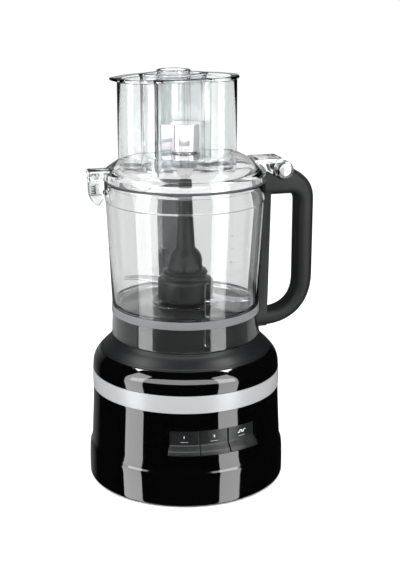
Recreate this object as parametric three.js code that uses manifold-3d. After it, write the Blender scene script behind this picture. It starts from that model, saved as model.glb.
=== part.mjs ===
// A food processor: a round motor base with three keys, a clear bowl with a side handle, a hinged lid
// with a wide feed chute, three nested pushers, a slicing adjuster and a two-blade cutter on a hub.
// Millimetres, +Z up. Z = 0 is the surface that the feet stand on, and the front faces -Y.

import * as THREE from 'three';
import Module from 'manifold-3d';
import { mergeVertices } from 'three/addons/utils/BufferGeometryUtils.js';

const wasm = await Module();
wasm.setup();

// ---------------------------------------------------------------- driving dimensions

const GAP = 0.3;                 // clearance kept between touching pieces
const RUNNING_GAP = 0.6;         // clearance between pieces that slide or turn
const ROUND_STEPS = 36;          // facets around a large round piece
const SMALL_STEPS = 20;          // facets around a small round piece

const BASE_RADIUS = 108;
const BAND = { low: 104.4, high: 123.4, radius: 102.8, depth: 1.7 };
const FOOT = { height: 2.8, radius: 10, circle: 86 };
const COVER = { low: 3.1, high: 5.6, radius: 104.2 };
const DECK_EDGE = { radius: 93.4, z: 146.7 };       // where the satin collar meets the gloss shoulder
const PLINTH = { radius: 76.6, top: 191.6 };
const RIB_DEG = [-88, 92];        // bearings of the bowl's two guide ribs and their slots in the plinth
const INLET = { z: 24, radius: 9, bore: 3.6 };
const SCREW = { shank: 2, head: 3.8, circle: 62 };
const TOWER = { radius: 10.2, bore: 5.6, top: 234 };

const KEY = { low: 58.2, high: 84.8, face: 100.6, lip: 107.2, back: 96.6 };
const KEY_EDGES_DEG = [-25.4, -6.8, 11.2, 31];      // measured from the front, towards +X
const KEY_GAP_DEG = 0.5;

const BOWL = { bottom: 162.6, floor: 193, step: 311, rim: 331, wall: 2.4 };
const BOWL_RADIUS = { bottom: 80.8, floor: 79.7, step: 84.8, rim: 86.2 };
const BOWL_TUBE = { inner: 10.8, outer: 13, top: 238 };

const LID = { rimLow: 333.3, skirtLow: 325.5, skirtRadius: 80.6, crown: 361.2, hole: 13.5 };
const CHUTE = { low: 326, high: 432.8, wall: 2.5, back: 76, lobe: 28, lobeX: 37.5, corner: 8 };
const RECESS = { y: -15, radius: 34 };               // hollow of the chute wall around the knob
const PUSHER_WALL = 2;
const PUSHER_LOW = { large: 338, medium: 341, small: 344 };
const FIT = 0.7;                 // side clearance between one pusher and the next
const MEDIUM_TOP = 438.6;
const FLANGE = { low: 433.2, high: 436.2, front: -2, sideX: 71.2, sideY: 44.5 };
const LENS = { y: 46, halfWidth: 35, halfDepth: 21 };
const TUBE_PUSHER = { y: 47, radius: 16.2, rim: 18.4, top: 442.4 };

const CAP = { radius: 6.4, inner: 2.2 };            // chrome cap in each end of the hinge
const HINGE = { x: 106.5, z: 339, knuckle: 9.5, pin: 3.5, earHalf: 6.4, halfLength: 19 };
const GRIP = { halfWidth: 14, outer: 143, inner: 124.5 };
const LATCH = { pinX: -97.5, pinZ: 339.5, pin: 1.6, halfWidth: 6.2, earInner: 6.8, earOuter: 10 };

const KNOB = { low: 362.8, high: 391.5, radius: 16.4, tab: 26 };
const CUP = { teeth: 325, low: 334.6, high: 345.6 };  // drive cup of the slicing discs
const HUB = { low: 199.5, cylinder: 30, cavity: 15.5 };
const BLADE = { thickness: 1.8, root: 21, tip: 73, lowerZ: 203, upperZ: 214.5 };
const MOTOR = { stator: 46, rotor: 29, shaft: 5, low: 32, high: 78, plate: 96 };

// the middle of the whole object from side to side, which the origin stands under
const CENTRE_X = (GRIP.outer - BASE_RADIUS) / 2;

// ---------------------------------------------------------------- shape helpers

const rad = THREE.MathUtils.degToRad;
const vec = (x, y) => new THREE.Vector2(x, y);

// A closed mesh becomes a solid for cutting and joining; slivers with no area are dropped.
function toSolid(geometry) {
  const bare = geometry.clone();
  bare.deleteAttribute('normal');
  bare.deleteAttribute('uv');
  const merged = mergeVertices(bare, 1e-3);
  const index = merged.index.array;
  const kept = [];
  for (let i = 0; i < index.length; i += 3) {
    const [a, b, c] = [index[i], index[i + 1], index[i + 2]];
    if (a !== b && b !== c && c !== a) kept.push(a, b, c);
  }
  const build = (corners) => new wasm.Manifold(new wasm.Mesh({
    numProp: 3,
    vertProperties: new Float32Array(merged.attributes.position.array),
    triVerts: new Uint32Array(corners),
  }));
  const solid = build(kept);
  return solid.volume() > 0 ? solid : build(kept.reverse());
}

function toGeometry(solid) {
  const { vertProperties, triVerts } = solid.getMesh();
  const geometry = new THREE.BufferGeometry();
  geometry.setAttribute('position', new THREE.BufferAttribute(new Float32Array(vertProperties), 3));
  geometry.setIndex(new THREE.BufferAttribute(new Uint32Array(triVerts), 1));
  geometry.computeVertexNormals();
  return geometry;
}

const union = (...solids) => solids.reduce((all, one) => all.add(one));
const cut = (solid, ...tools) => tools.reduce((left, tool) => left.subtract(tool), solid);

// Turns a closed outline of [radius, z] points about the Z axis.
function turned(outline, steps = ROUND_STEPS) {
  const points = outline.map(([r, z]) => vec(r, z));
  const closed = outline[0][0] === 0 && outline.at(-1)[0] === 0;
  if (!closed) points.push(points[0].clone());
  return toSolid(new THREE.LatheGeometry(points, steps).rotateX(Math.PI / 2));
}

// A round bar or, with a bore, a ring from z = low to z = high.
function ring(low, high, outer, bore = 0, steps = SMALL_STEPS) {
  return turned([[bore, low], [outer, low], [outer, high], [bore, high]], steps);
}

// Carries a flat outline straight up from z = low to z = high.
function raised(points, low, high) {
  const options = { depth: high - low, bevelEnabled: false };
  const geometry = new THREE.ExtrudeGeometry(new THREE.Shape(points), options);
  return toSolid(geometry.translate(0, 0, low));
}

// Carries an outline drawn in X and Z along Y, with its edges rounded by the bevel.
function crossways(shape, halfWidth, bevel = 0, segments = 3) {
  const options = bevel > 0
    ? { depth: 2 * (halfWidth - bevel), bevelEnabled: true, bevelThickness: bevel,
      bevelSize: bevel, bevelOffset: -bevel, bevelSegments: segments, curveSegments: 10 }
    : { depth: 2 * halfWidth, bevelEnabled: false, curveSegments: 10 };
  const geometry = new THREE.ExtrudeGeometry(shape, options);
  geometry.translate(0, 0, -(halfWidth - bevel)).rotateX(Math.PI / 2);
  return toSolid(geometry);
}

function block(low, high) {
  const size = high.map((value, i) => value - low[i]);
  const middle = high.map((value, i) => (value + low[i]) / 2);
  return toSolid(new THREE.BoxGeometry(...size).translate(...middle));
}

// A round bar along Y, centred on (x, z).
function crossBar(x, z, radius, low, high, steps = SMALL_STEPS) {
  const geometry = new THREE.CylinderGeometry(radius, radius, high - low, steps);
  return toSolid(geometry.translate(x, (low + high) / 2, z));
}

function arc(x, y, radius, fromDeg, toDeg, steps) {
  return Array.from({ length: steps + 1 }, (_, i) => {
    const angle = rad(fromDeg + ((toDeg - fromDeg) * i) / steps);
    return vec(x + radius * Math.cos(angle), y + radius * Math.sin(angle));
  });
}

// Turns an outline of [radius, z] through part of a circle, both ends closed flat.
// Angles are measured from the front, towards +X.
function sector(outline, fromDeg, toDeg, steps) {
  const profile = outline.map(([r, z]) => vec(r, z));
  const count = profile.length;
  const positions = [];
  for (let i = 0; i <= steps; i += 1) {
    const angle = rad(fromDeg + ((toDeg - fromDeg) * i) / steps);
    profile.forEach(({ x, y }) => positions.push(x * Math.sin(angle), -x * Math.cos(angle), y));
  }
  const index = [];
  for (let i = 0; i < steps; i += 1) {
    for (let j = 0; j < count; j += 1) {
      const a = i * count + j;
      const b = i * count + ((j + 1) % count);
      index.push(a, b, a + count, b, b + count, a + count);
    }
  }
  const far = steps * count;
  THREE.ShapeUtils.triangulateShape(profile, []).forEach(([a, b, c]) => {
    index.push(c, b, a, far + a, far + b, far + c);
  });
  const geometry = new THREE.BufferGeometry();
  geometry.setAttribute('position', new THREE.Float32BufferAttribute(positions, 3));
  geometry.setIndex(index);
  return toSolid(geometry);
}

function aroundZ(solid, degrees) {
  return solid.rotate([0, 0, degrees]);
}

// ---------------------------------------------------------------- finishes

const finish = (color, roughness, metalness = 0, opacity = 1) => new THREE.MeshStandardMaterial({
  color, roughness, metalness, opacity, transparent: opacity < 1,
});
const FINISHES = {
  glossBlack: () => finish(0x060607, 0.08),
  satinBlack: () => finish(0x17181a, 0.45),
  keyBlack: () => finish(0x1b1c1e, 0.4),
  brushedBand: () => finish(0xb9babb, 0.35, 1),
  clear: () => finish(0xeef1f2, 0.05, 0, 0.3),
  smoky: () => finish(0xa9adb0, 0.15, 0, 0.5),
  chrome: () => finish(0xdcdde0, 0.08, 1),
  steel: () => finish(0xc3c5c7, 0.25, 1),
  hubGrey: () => finish(0x3a3b3d, 0.5),
  handleBlack: () => finish(0x202123, 0.55),
  rubber: () => finish(0x141414, 0.85),
  seal: () => finish(0x2b2c2e, 0.7),
  white: () => finish(0xe8e8e6, 0.35),
  copper: () => finish(0x9a5a34, 0.4, 1),
  board: () => finish(0x1f5a38, 0.5),
};

// ---------------------------------------------------------------- motor base

function housing() {
  const inner = BAND.radius - BAND.depth - 2;
  const groove = BAND.radius - BAND.depth - GAP;
  const shell = turned([
    [105, 2], [107.4, 2], [BASE_RADIUS, 4], [BASE_RADIUS, 18], [107.6, 31], [107.1, 36.6],
    [106.4, 38.7], [105.4, 40.6], [104.9, 44], [104.5, 52], [103.9, 66], [103, 82], [102.5, 98],
    [102.5, BAND.low - GAP], [groove, BAND.low - GAP], [groove, BAND.high + GAP],
    [102.4, BAND.high + GAP], [102.2, 130.5], [101.4, 134.6], [100, 138.4], [97.6, 142],
    [DECK_EDGE.radius + 0.4, DECK_EDGE.z - 0.5], [DECK_EDGE.radius - 1.6, DECK_EDGE.z - 3.1],
    [94.8, 139.8], [97.6, 136], [inner, 133], [inner, 98], [99.8, 82], [101.2, 52], [101.6, 42],
    [103.4, 35], [105, 18],
  ]);
  const window = sector([[95, KEY.low - GAP], [112, KEY.low - GAP], [112, KEY.high + GAP],
    [95, KEY.high + GAP]], KEY_EDGES_DEG[0] - KEY_GAP_DEG, KEY_EDGES_DEG.at(-1) + KEY_GAP_DEG, 10);
  const inletHole = crossBar(0, INLET.z, INLET.radius + GAP, 96, 112);
  return cut(shell, window, inletHole);
}

function inlet() {
  const outline = [[INLET.bore, 98], [INLET.radius + 3, 98], [INLET.radius + 3, 101.4],
    [INLET.radius, 101.4], [INLET.radius - 1, 107.9], [INLET.bore, 107.9]];
  return turned(outline, SMALL_STEPS).rotate([-90, 0, 0]).translate([0, 0, INLET.z]);
}

const trimBand = () => ring(BAND.low, BAND.high, BAND.radius, BAND.radius - BAND.depth, ROUND_STEPS);

// The satin top of the base: a shoulder, the plinth inside the bowl's skirt and the spindle's tower.
function deck() {
  const body = turned([
    [DECK_EDGE.radius - 2.2, DECK_EDGE.z - 2.6], [DECK_EDGE.radius, DECK_EDGE.z], [89, 151], [84.4, 155.4],
    [82, 158.8], [81.4, 162], [PLINTH.radius, 162.2], [PLINTH.radius, PLINTH.top - 2],
    [PLINTH.radius - 2, PLINTH.top], [TOWER.radius + 4, PLINTH.top], [TOWER.radius, PLINTH.top - 2],
    [TOWER.radius, TOWER.top], [TOWER.bore, TOWER.top], [TOWER.bore, 180], [TOWER.radius, 180],
    [20, 188.8], [72, 188.8], [73.6, 187], [73.6, 160], [87.6, 146], [89.2, DECK_EDGE.z - 2.6],
  ]);
  const slots = RIB_DEG.map((deg) => aroundZ(block([71.6, -5, 163], [80, 5, 195]), deg));
  const backed = RIB_DEG.map((deg) => aroundZ(block([69, -7.4, 163], [71.2, 7.4, 189]), deg));
  return cut(union(body, ...backed), ...slots);
}

function key(index) {
  const half = KEY_GAP_DEG / 2;
  return sector([
    [KEY.back, KEY.low], [KEY.lip - 0.4, KEY.low], [KEY.lip, KEY.low + 0.8], [KEY.lip - 1.4, KEY.low + 4.8],
    [KEY.face + 0.4, KEY.low + 9.8], [KEY.face, KEY.low + 11], [KEY.face - 0.4, KEY.high - 0.6],
    [KEY.face - 1, KEY.high], [KEY.back, KEY.high],
  ], KEY_EDGES_DEG[index] + half, KEY_EDGES_DEG[index + 1] - half, 5);
}

const keyMiddle = (index) => (KEY_EDGES_DEG[index] + KEY_EDGES_DEG[index + 1]) / 2;

function keyFrame() {
  const ends = [KEY_EDGES_DEG[0] - 2, KEY_EDGES_DEG.at(-1) + 2];
  return sector([[89, 53], [97.6, 53], [97.6, 55.6], [91.4, 55.6], [91.4, 88], [97.6, 88],
    [97.6, 90.6], [89, 90.6]], ...ends, 14);
}

function keySwitch(index) {
  const body = block([-7, -88, 62], [7, -79, 82]);
  const plunger = block([-2.5, -88.4, 69], [2.5, -87.6, 75]);
  return aroundZ(union(body, plunger), keyMiddle(index));
}

function bottomCover() {
  const rim = COVER.radius;
  const disc = turned([[0, COVER.low], [rim, COVER.low], [rim, COVER.high + 5], [rim - 2, COVER.high + 5],
    [rim - 2, COVER.high], [0, COVER.high]]);
  const vents = [-2, -1, 0, 1, 2].map((i) => block([-30, i * 9 - 2, 0], [30, i * 9 + 2, 10]));
  const holes = screwPlaces().map(([x, y]) => ring(0, 12, SCREW.shank + GAP).translate([x, y, 0]));
  return cut(disc, ...vents, ...holes);
}

const quarterTurns = [45, 135, 225, 315];
const onCircle = (radius) => quarterTurns.map((deg) => [radius * Math.cos(rad(deg)), radius * Math.sin(rad(deg))]);
const screwPlaces = () => onCircle(SCREW.circle);
const footPlaces = () => onCircle(FOOT.circle);

function screw([x, y]) {
  const outline = [[0, 0.9], [SCREW.head - 0.6, 0.9], [SCREW.head, 1.5], [SCREW.head, COVER.low - GAP],
    [SCREW.shank, COVER.low - GAP], [SCREW.shank, 12], [0, 13]];
  return turned(outline, 12).translate([x, y, 0]);
}

function foot([x, y]) {
  const outline = [[0, 0], [FOOT.radius - 1, 0], [FOOT.radius, 1], [FOOT.radius - 0.6, FOOT.height],
    [0, FOOT.height]];
  return turned(outline, SMALL_STEPS).translate([x, y, 0]);
}

// ---------------------------------------------------------------- motor and drive

function stator() {
  const core = ring(MOTOR.low + 6, MOTOR.high - 8, MOTOR.stator, MOTOR.rotor + 1.2, 24);
  const keyways = quarterTurns.map((deg) => aroundZ(block([MOTOR.stator - 2, -4, 0], [60, 4, 100]), deg));
  return cut(core, ...keyways);
}

const winding = (low, high) => turned([[32, low], [41, low], [43, low + 2], [43, high - 2], [41, high],
  [32, high]], 24);

function motorCan() {
  const outer = MOTOR.stator + 2.6;
  return turned([[11.8, 21], [20, 21], [outer - 3, 26], [outer, 29], [outer, 90], [outer + 8, 90],
    [outer + 8, 92.4], [outer - 2.2, 92.4], [outer - 2.2, 30], [outer - 4, 28.4], [20, 24], [11.8, 24]], 24);
}

function motorPlate() {
  const plate = turned([[11.6, MOTOR.plate], [98, MOTOR.plate], [98, MOTOR.plate + 3],
    [16, MOTOR.plate + 3], [16, MOTOR.plate + 7], [11.6, MOTOR.plate + 7]]);
  const windows = quarterTurns.map((deg) => aroundZ(block([60, -16, 90], [88, 16, 110]), deg));
  return cut(plate, ...windows);
}

const bearing = (low) => ring(low, low + 6.5, 11.2, MOTOR.shaft + GAP);

function rotor() {
  const core = ring(MOTOR.low + 6, MOTOR.high - 8, MOTOR.rotor, MOTOR.shaft + GAP, 24);
  const rings = [[MOTOR.low + 2, MOTOR.low + 6.2], [MOTOR.high - 8.2, MOTOR.high - 4]]
    .map(([low, high]) => ring(low, high, 27, 20, 24));
  return union(core, ...rings);
}

// One shaft from the fan up through the tower; its six-sided head turns the blade hub.
function driveShaft() {
  const bar = ring(9, 237, MOTOR.shaft);
  const shoulder = ring(235, 237.5, 7.4);
  const head = ring(237, 255.5, 7.4, 0, 6);
  return union(bar, shoulder, head);
}

function coolingFan() {
  const hub = ring(10, 20, 11, MOTOR.shaft + GAP);
  const disc = ring(10, 11.6, 42, MOTOR.shaft + GAP, 24);
  const vanes = Array.from({ length: 10 }, (_, i) => (
    aroundZ(block([10.5, -0.8, 11], [40, 0.8, 19]).rotate([0, 0, 12]), i * 36)));
  return union(hub, disc, ...vanes);
}

function circuitBoard() {
  const board = block([-32, 62, 12], [32, 63.8, 60]);
  const capacitor = block([-24, 64, 20], [-4, 78, 48]).translate([0, -0.3, 0]);
  const relay = block([6, 64, 26], [24, 76, 42]).translate([0, -0.3, 0]);
  return union(board, capacitor, relay);
}

// ---------------------------------------------------------------- bowl and handle

function bowlOuterRadius(z) {
  const { bottom, floor, step } = BOWL_RADIUS;
  if (z < BOWL.floor) return THREE.MathUtils.mapLinear(z, BOWL.bottom, BOWL.floor, bottom, floor);
  return THREE.MathUtils.mapLinear(z, BOWL.floor, BOWL.step, floor, step);
}

function bowl() {
  const { bottom, floor, step, rim } = BOWL_RADIUS;
  const w = BOWL.wall;
  const top = BOWL.floor + w;
  const body = turned([
    [bottom - w, BOWL.bottom], [bottom, BOWL.bottom], [floor, BOWL.floor], [step, BOWL.step - 0.6],
    [rim - 0.3, BOWL.step + 0.8], [rim, BOWL.rim - 0.8], [rim - 0.8, BOWL.rim], [rim - w - 0.6, BOWL.rim],
    [step - w + 0.2, BOWL.step], [floor - w + 0.1, top + 3], [floor - w - 1, top + 0.8],
    [floor - w - 3.4, top], [36, top], [35, top + 1.4], [33.4, top + 1.4], [32.4, top],
    [BOWL_TUBE.outer + 1.5, top], [BOWL_TUBE.outer, top + 1.5], [BOWL_TUBE.outer, BOWL_TUBE.top],
    [BOWL_TUBE.inner, BOWL_TUBE.top], [BOWL_TUBE.inner, BOWL.floor], [floor - w, BOWL.floor],
  ]);
  const rib = union(block([75, -2.5, 168], [78.6, 2.5, 234.5]),
    crossBar(0, 0, 2.5, 75, 78.6, 12).rotate([0, 0, -90]).translate([0, 0, 234.5]));
  const keeper = block([-88.8, -5, 320], [-85, 5, 323.4]);
  return union(body, ...RIB_DEG.map((deg) => aroundZ(rib, deg)), keeper);
}

// The handle's loop, seen from the front: upper arm, grip and lower arm.
function handleLoop() {
  const low = 163.4;
  const shape = new THREE.Shape();
  shape.moveTo(70, low);
  shape.lineTo(88, low);
  shape.bezierCurveTo(116, low, GRIP.outer, 180, GRIP.outer, 220);
  shape.lineTo(GRIP.outer, 304);
  shape.bezierCurveTo(GRIP.outer, 321, 134, 331, 118, 338.6);
  shape.lineTo(70, 338.6);
  shape.lineTo(70, 311);
  shape.lineTo(117, 311);
  shape.quadraticCurveTo(GRIP.inner, 311, GRIP.inner, 303);
  shape.lineTo(GRIP.inner, 214);
  shape.bezierCurveTo(GRIP.inner, 192, 112, 180.4, 88, 180.4);
  shape.lineTo(70, 180.4);
  shape.closePath();
  const saddle = crossBar(HINGE.x, HINGE.z, HINGE.knuckle + 1.6, -30, 30, 40);
  const overRim = block([60, -30, 332.2], [HINGE.x - 8, 30, 350]);
  return cut(crossways(shape, GRIP.halfWidth, 6.5), saddle, overRim);
}

function handle() {
  const strip = crossways(new THREE.Shape([vec(74, 163.4), vec(90.4, 163.4), vec(93.6, 332.2),
    vec(74, 332.2)]), 12.6, 1.2, 1);
  const neck = block([HINGE.x - 5.5, -HINGE.earHalf, 322], [HINGE.x + 5.5, HINGE.earHalf, HINGE.z]);
  const ear = union(neck, crossBar(HINGE.x, HINGE.z, 6.4, -HINGE.earHalf, HINGE.earHalf));
  const wallSpace = turned([[0, 150], [bowlOuterRadius(150) + GAP, 150],
    [BOWL_RADIUS.floor + GAP, BOWL.floor], [BOWL_RADIUS.step + GAP, BOWL.step - 1.4],
    [BOWL_RADIUS.rim + GAP, BOWL.step], [BOWL_RADIUS.rim + GAP + 0.3, 360], [0, 360]]);
  const pinBore = crossBar(HINGE.x, HINGE.z, HINGE.pin + GAP, -20, 20);
  return cut(union(handleLoop(), strip, ear), wallSpace, pinBore);
}

const handleFront = () => cut(handle(), block([60, -GAP / 2, 100], [200, 40, 400]));
const handleRear = () => cut(handle(), block([60, -40, 100], [200, GAP / 2, 400]));

// ---------------------------------------------------------------- lid, chute and latch

// Outline of the chute seen from above, brought in by the inset. It wraps round the knob's recess:
// recess arc, corner, side lobe and back arc on each side, every arc running into the next.
function chuteOutline(inset) {
  const recessRadius = RECESS.radius + inset;
  const lobeY = Math.sqrt((CHUTE.back - CHUTE.lobe) ** 2 - CHUTE.lobeX ** 2);
  const recess = vec(0, RECESS.y);
  const lobe = vec(CHUTE.lobeX, lobeY);
  const toRecess = RECESS.radius + CHUTE.corner;
  const toLobe = CHUTE.lobe - CHUTE.corner;
  const apart = lobe.clone().sub(recess);
  const along = (apart.lengthSq() + toRecess ** 2 - toLobe ** 2) / (2 * apart.length());
  const aside = Math.sqrt(toRecess ** 2 - along ** 2);
  const unit = apart.clone().normalize();
  const corner = recess.clone().addScaledVector(unit, along).addScaledVector(vec(unit.y, -unit.x), aside);
  const bearingOf = (from, to) => THREE.MathUtils.radToDeg(Math.atan2(to.y - from.y, to.x - from.x));
  const half = [
    ...arc(0, RECESS.y, recessRadius, 90, bearingOf(recess, corner), 6),
    ...arc(corner.x, corner.y, CHUTE.corner - inset, bearingOf(corner, recess), bearingOf(lobe, corner), 3),
    ...arc(lobe.x, lobe.y, CHUTE.lobe - inset, bearingOf(lobe, corner), bearingOf(vec(0, 0), lobe), 10),
    ...arc(0, 0, CHUTE.back - inset, bearingOf(vec(0, 0), lobe), 90, 6),
  ];
  return mirrored(distinct(half));
}

const distinct = (points) => points.filter((p, i) => i === 0 || p.distanceTo(points[i - 1]) > 0.05);
const mirrored = (half) => [...half, ...half.slice(1, -1).reverse().map((p) => vec(-p.x, p.y))];

// Outline of the large pusher's flange: a bowed front that sweeps into the round back.
function flangeOutline() {
  const { front, sideX, sideY } = FLANGE;
  const bow = new THREE.CubicBezierCurve(vec(0, front), vec(40, front - 1), vec(sideX, 8), vec(sideX, sideY));
  const bearing = THREE.MathUtils.radToDeg(Math.atan2(sideY, sideX));
  return mirrored(distinct([...bow.getPoints(16), ...arc(0, 0, Math.hypot(sideX, sideY), bearing, 90, 8)]));
}

function lensOutline(inset) {
  const radius = (LENS.halfWidth ** 2 + LENS.halfDepth ** 2) / (2 * LENS.halfDepth);
  const offset = radius - LENS.halfDepth;
  const spread = THREE.MathUtils.radToDeg(Math.acos(offset / (radius - inset)));
  const front = arc(0, LENS.y + offset, radius - inset, -90 - spread, -90 + spread, 12);
  const back = arc(0, LENS.y - offset, radius - inset, 90 - spread, 90 + spread, 12);
  return [...front.slice(0, -1), ...back.slice(0, -1)];
}

function lid() {
  const { rimLow, skirtLow, skirtRadius, crown } = LID;
  const dome = turned([
    [skirtRadius - 2, skirtLow], [skirtRadius, skirtLow], [skirtRadius, rimLow], [86.2, rimLow],
    [86.4, 340.4], [85, 342.4], [82, 344.6], [73, 350.8], [62.4, 356.6], [52.6, 360.5], [46, crown],
    [0, crown], [0, crown - 2.4], [46, crown - 2.4], [51.6, 358], [61.2, 354.3], [71.4, 348.8],
    [76.6, 344.4], [78.6, 341.5],
  ]);
  const chute = raised(chuteOutline(0), CHUTE.low, CHUTE.high);
  const throat = raised(chuteOutline(CHUTE.wall), CHUTE.low - 5, CHUTE.high + 5);
  const arm = block([73.5, -15, 346], [HINGE.x - 1.5, 15, 351.5]);
  const knuckles = union(
    crossBar(HINGE.x, HINGE.z, HINGE.knuckle, -HINGE.halfLength, -HINGE.earHalf - RUNNING_GAP),
    crossBar(HINGE.x, HINGE.z, HINGE.knuckle, HINGE.earHalf + RUNNING_GAP, HINGE.halfLength));
  const ears = union(
    block([LATCH.pinX - 7, -LATCH.earOuter, 335.6], [-80, -LATCH.earInner, 346]),
    block([LATCH.pinX - 7, LATCH.earInner, 335.6], [-80, LATCH.earOuter, 346]),
    block([LATCH.pinX - 7, -LATCH.earOuter, 344], [-80, LATCH.earOuter, 346.4]));
  const pinBore = crossBar(HINGE.x, HINGE.z, HINGE.pin + GAP, -20, 20);
  const capSeats = union(
    crossBar(HINGE.x, HINGE.z, CAP.radius + GAP, -20, CAP.inner - HINGE.halfLength),
    crossBar(HINGE.x, HINGE.z, CAP.radius + GAP, HINGE.halfLength - CAP.inner, 20));
  const latchBore = crossBar(LATCH.pinX, LATCH.pinZ, LATCH.pin + GAP, -12, 12, 12);
  const knobHole = ring(330, 370, LID.hole, 0, 32);
  const earClearance = crossBar(HINGE.x, HINGE.z, 7, -HINGE.earHalf - RUNNING_GAP, HINGE.earHalf + RUNNING_GAP);
  const whole = union(dome, chute, arm, knuckles, ears);
  return cut(whole, throat, pinBore, capSeats, latchBore, knobHole, earClearance);
}

const gasket = () => ring(BOWL.rim + GAP, LID.rimLow - GAP, 85.6, 81.4, ROUND_STEPS);
const hingePin = () => crossBar(HINGE.x, HINGE.z, HINGE.pin, -HINGE.halfLength + 2.6, HINGE.halfLength - 2.6);

function pinCap(side) {
  const outline = [[0, 0], [CAP.radius - 0.8, 0], [CAP.radius, 0.6], [CAP.radius, 1.8], [0, 1.8]];
  return turned(outline, SMALL_STEPS).rotate([side < 0 ? -90 : 90, 0, 0])
    .translate([HINGE.x, side * (HINGE.halfLength + 0.1), HINGE.z]);
}

const latchPin = () => crossBar(LATCH.pinX, LATCH.pinZ, LATCH.pin, -9.6, 9.6, 12);

// The latch hangs from its pin; its barb lies under the bowl's keeper and stops just short of it.
function latch() {
  const shape = new THREE.Shape([vec(-99.5, 343), vec(-101.2, 342.2), vec(-104.2, 339.2),
    vec(-104.4, 322), vec(-101.5, 313.5), vec(-96.8, 308.8), vec(-93.4, 309), vec(-89.6, 315.4),
    vec(-89.6, 318.6), vec(-93.4, 321), vec(-93.4, 343)]);
  const body = crossways(shape, LATCH.halfWidth, 0.8, 1);
  const bore = crossBar(LATCH.pinX, LATCH.pinZ, LATCH.pin + GAP, -12, 12, 12);
  const springSlot = block([-102, -3.2, 319.4], [-92, 3.2, 331.6]);
  return cut(body, bore, springSlot);
}

class Helix extends THREE.Curve {
  constructor(radius, height, turns) {
    super();
    Object.assign(this, { radius, height, turns });
  }

  getPoint(t) {
    const angle = t * this.turns * Math.PI * 2;
    return new THREE.Vector3(this.radius * Math.cos(angle), this.radius * Math.sin(angle), t * this.height);
  }
}

function latchSpring() {
  const wire = new THREE.Shape(arc(0, 0, 0.45, 0, 288, 4));
  const path = new Helix(1.9, 10, 5);
  const geometry = new THREE.ExtrudeGeometry(wire, { steps: 40, extrudePath: path, bevelEnabled: false });
  return toSolid(geometry).translate([-99, 0, 320.5]);
}

// ---------------------------------------------------------------- pushers

function largePusher() {
  const low = PUSHER_LOW.large;
  const inset = CHUTE.wall + FIT;
  const body = raised(chuteOutline(inset), low, FLANGE.high);
  const hollow = raised(chuteOutline(inset + PUSHER_WALL), low + PUSHER_WALL, FLANGE.high + 5);
  const sleeve = raised(lensOutline(-PUSHER_WALL), low, FLANGE.high);
  const passage = raised(lensOutline(0), low - 8, FLANGE.high + 5);
  const flange = raised(flangeOutline(), FLANGE.low, FLANGE.high);
  const mouth = raised(chuteOutline(inset + PUSHER_WALL), FLANGE.low - 5, FLANGE.high + 5);
  return cut(union(cut(body, hollow), cut(flange, mouth), sleeve), passage);
}

function mediumPusher() {
  const low = PUSHER_LOW.medium;
  const bore = TUBE_PUSHER.radius + FIT;
  const body = raised(lensOutline(FIT), low, MEDIUM_TOP);
  const hollow = raised(lensOutline(FIT + PUSHER_WALL), low + PUSHER_WALL, MEDIUM_TOP + 5);
  const sleeve = ring(low, MEDIUM_TOP, bore + 1.4, 0, 32).translate([0, TUBE_PUSHER.y, 0]);
  const passage = ring(low - 8, MEDIUM_TOP + 5, bore, 0, 32).translate([0, TUBE_PUSHER.y, 0]);
  const plate = raised(lensOutline(-3.4), FLANGE.high + GAP, MEDIUM_TOP);
  const mouth = raised(lensOutline(FIT + PUSHER_WALL), FLANGE.high - 5, MEDIUM_TOP + 5);
  return cut(union(cut(body, hollow), sleeve, cut(plate, mouth)), passage);
}

function smallPusher() {
  const { y, radius, rim, top } = TUBE_PUSHER;
  const low = PUSHER_LOW.small;
  const rimLow = MEDIUM_TOP + RUNNING_GAP;
  const inside = radius - PUSHER_WALL;
  return turned([[0, low], [radius - 1, low], [radius, low + 1], [radius, rimLow], [rim, rimLow],
    [rim, top - 0.8], [rim - 0.8, top], [inside, top], [inside, low + PUSHER_WALL],
    [0, low + PUSHER_WALL]], 32).translate([0, y, 0]);
}

// ---------------------------------------------------------------- slicing adjuster

function adjusterCollar() {
  return turned([[10.2, 346], [12.4, 346], [13.1, 347], [13.1, KNOB.low - GAP], [10.2, KNOB.low - GAP]], 24);
}

function adjusterKnob() {
  const body = turned([[0, KNOB.low], [KNOB.radius - 0.5, KNOB.low], [KNOB.radius, KNOB.low + 0.5],
    [KNOB.radius, KNOB.high - 1], [KNOB.radius - 1, KNOB.high], [0, KNOB.high]], 32);
  const tab = block([-KNOB.tab, -4, KNOB.low + 0.4], [-6, 5, KNOB.high - 0.4]);
  const bore = ring(KNOB.low - 5, 387, 4.6);
  return cut(union(body, tab), bore);
}

const adjusterShaft = () => ring(346, 382, 4, 0, 16);

function driveCup() {
  const { teeth, low, high } = CUP;
  const cup = turned([[0, low], [6.4, low], [8.6, low + 3.4], [9.6, high], [0, high]], 24);
  const bars = Array.from({ length: 6 }, (_, i) => aroundZ(block([2, -1, teeth], [5.4, 1, low + 0.4]), i * 60));
  return union(cup, ring(teeth + 2, low + 0.4, 3), ...bars);
}

// ---------------------------------------------------------------- cutter

// One blade seen from above, pointing along +X: a curved cutting edge and a plain back.
function bladeShape(grow) {
  const shape = new THREE.Shape();
  shape.moveTo(BLADE.root - grow, -10 - grow);
  shape.bezierCurveTo(40, -15 - grow, 62, -14 - grow, BLADE.tip + grow, 3);
  shape.lineTo(70, 11 + grow);
  shape.bezierCurveTo(58, 2 + grow, 42, 5 + grow, BLADE.root - grow, 10 + grow);
  shape.closePath();
  return shape;
}

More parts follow.
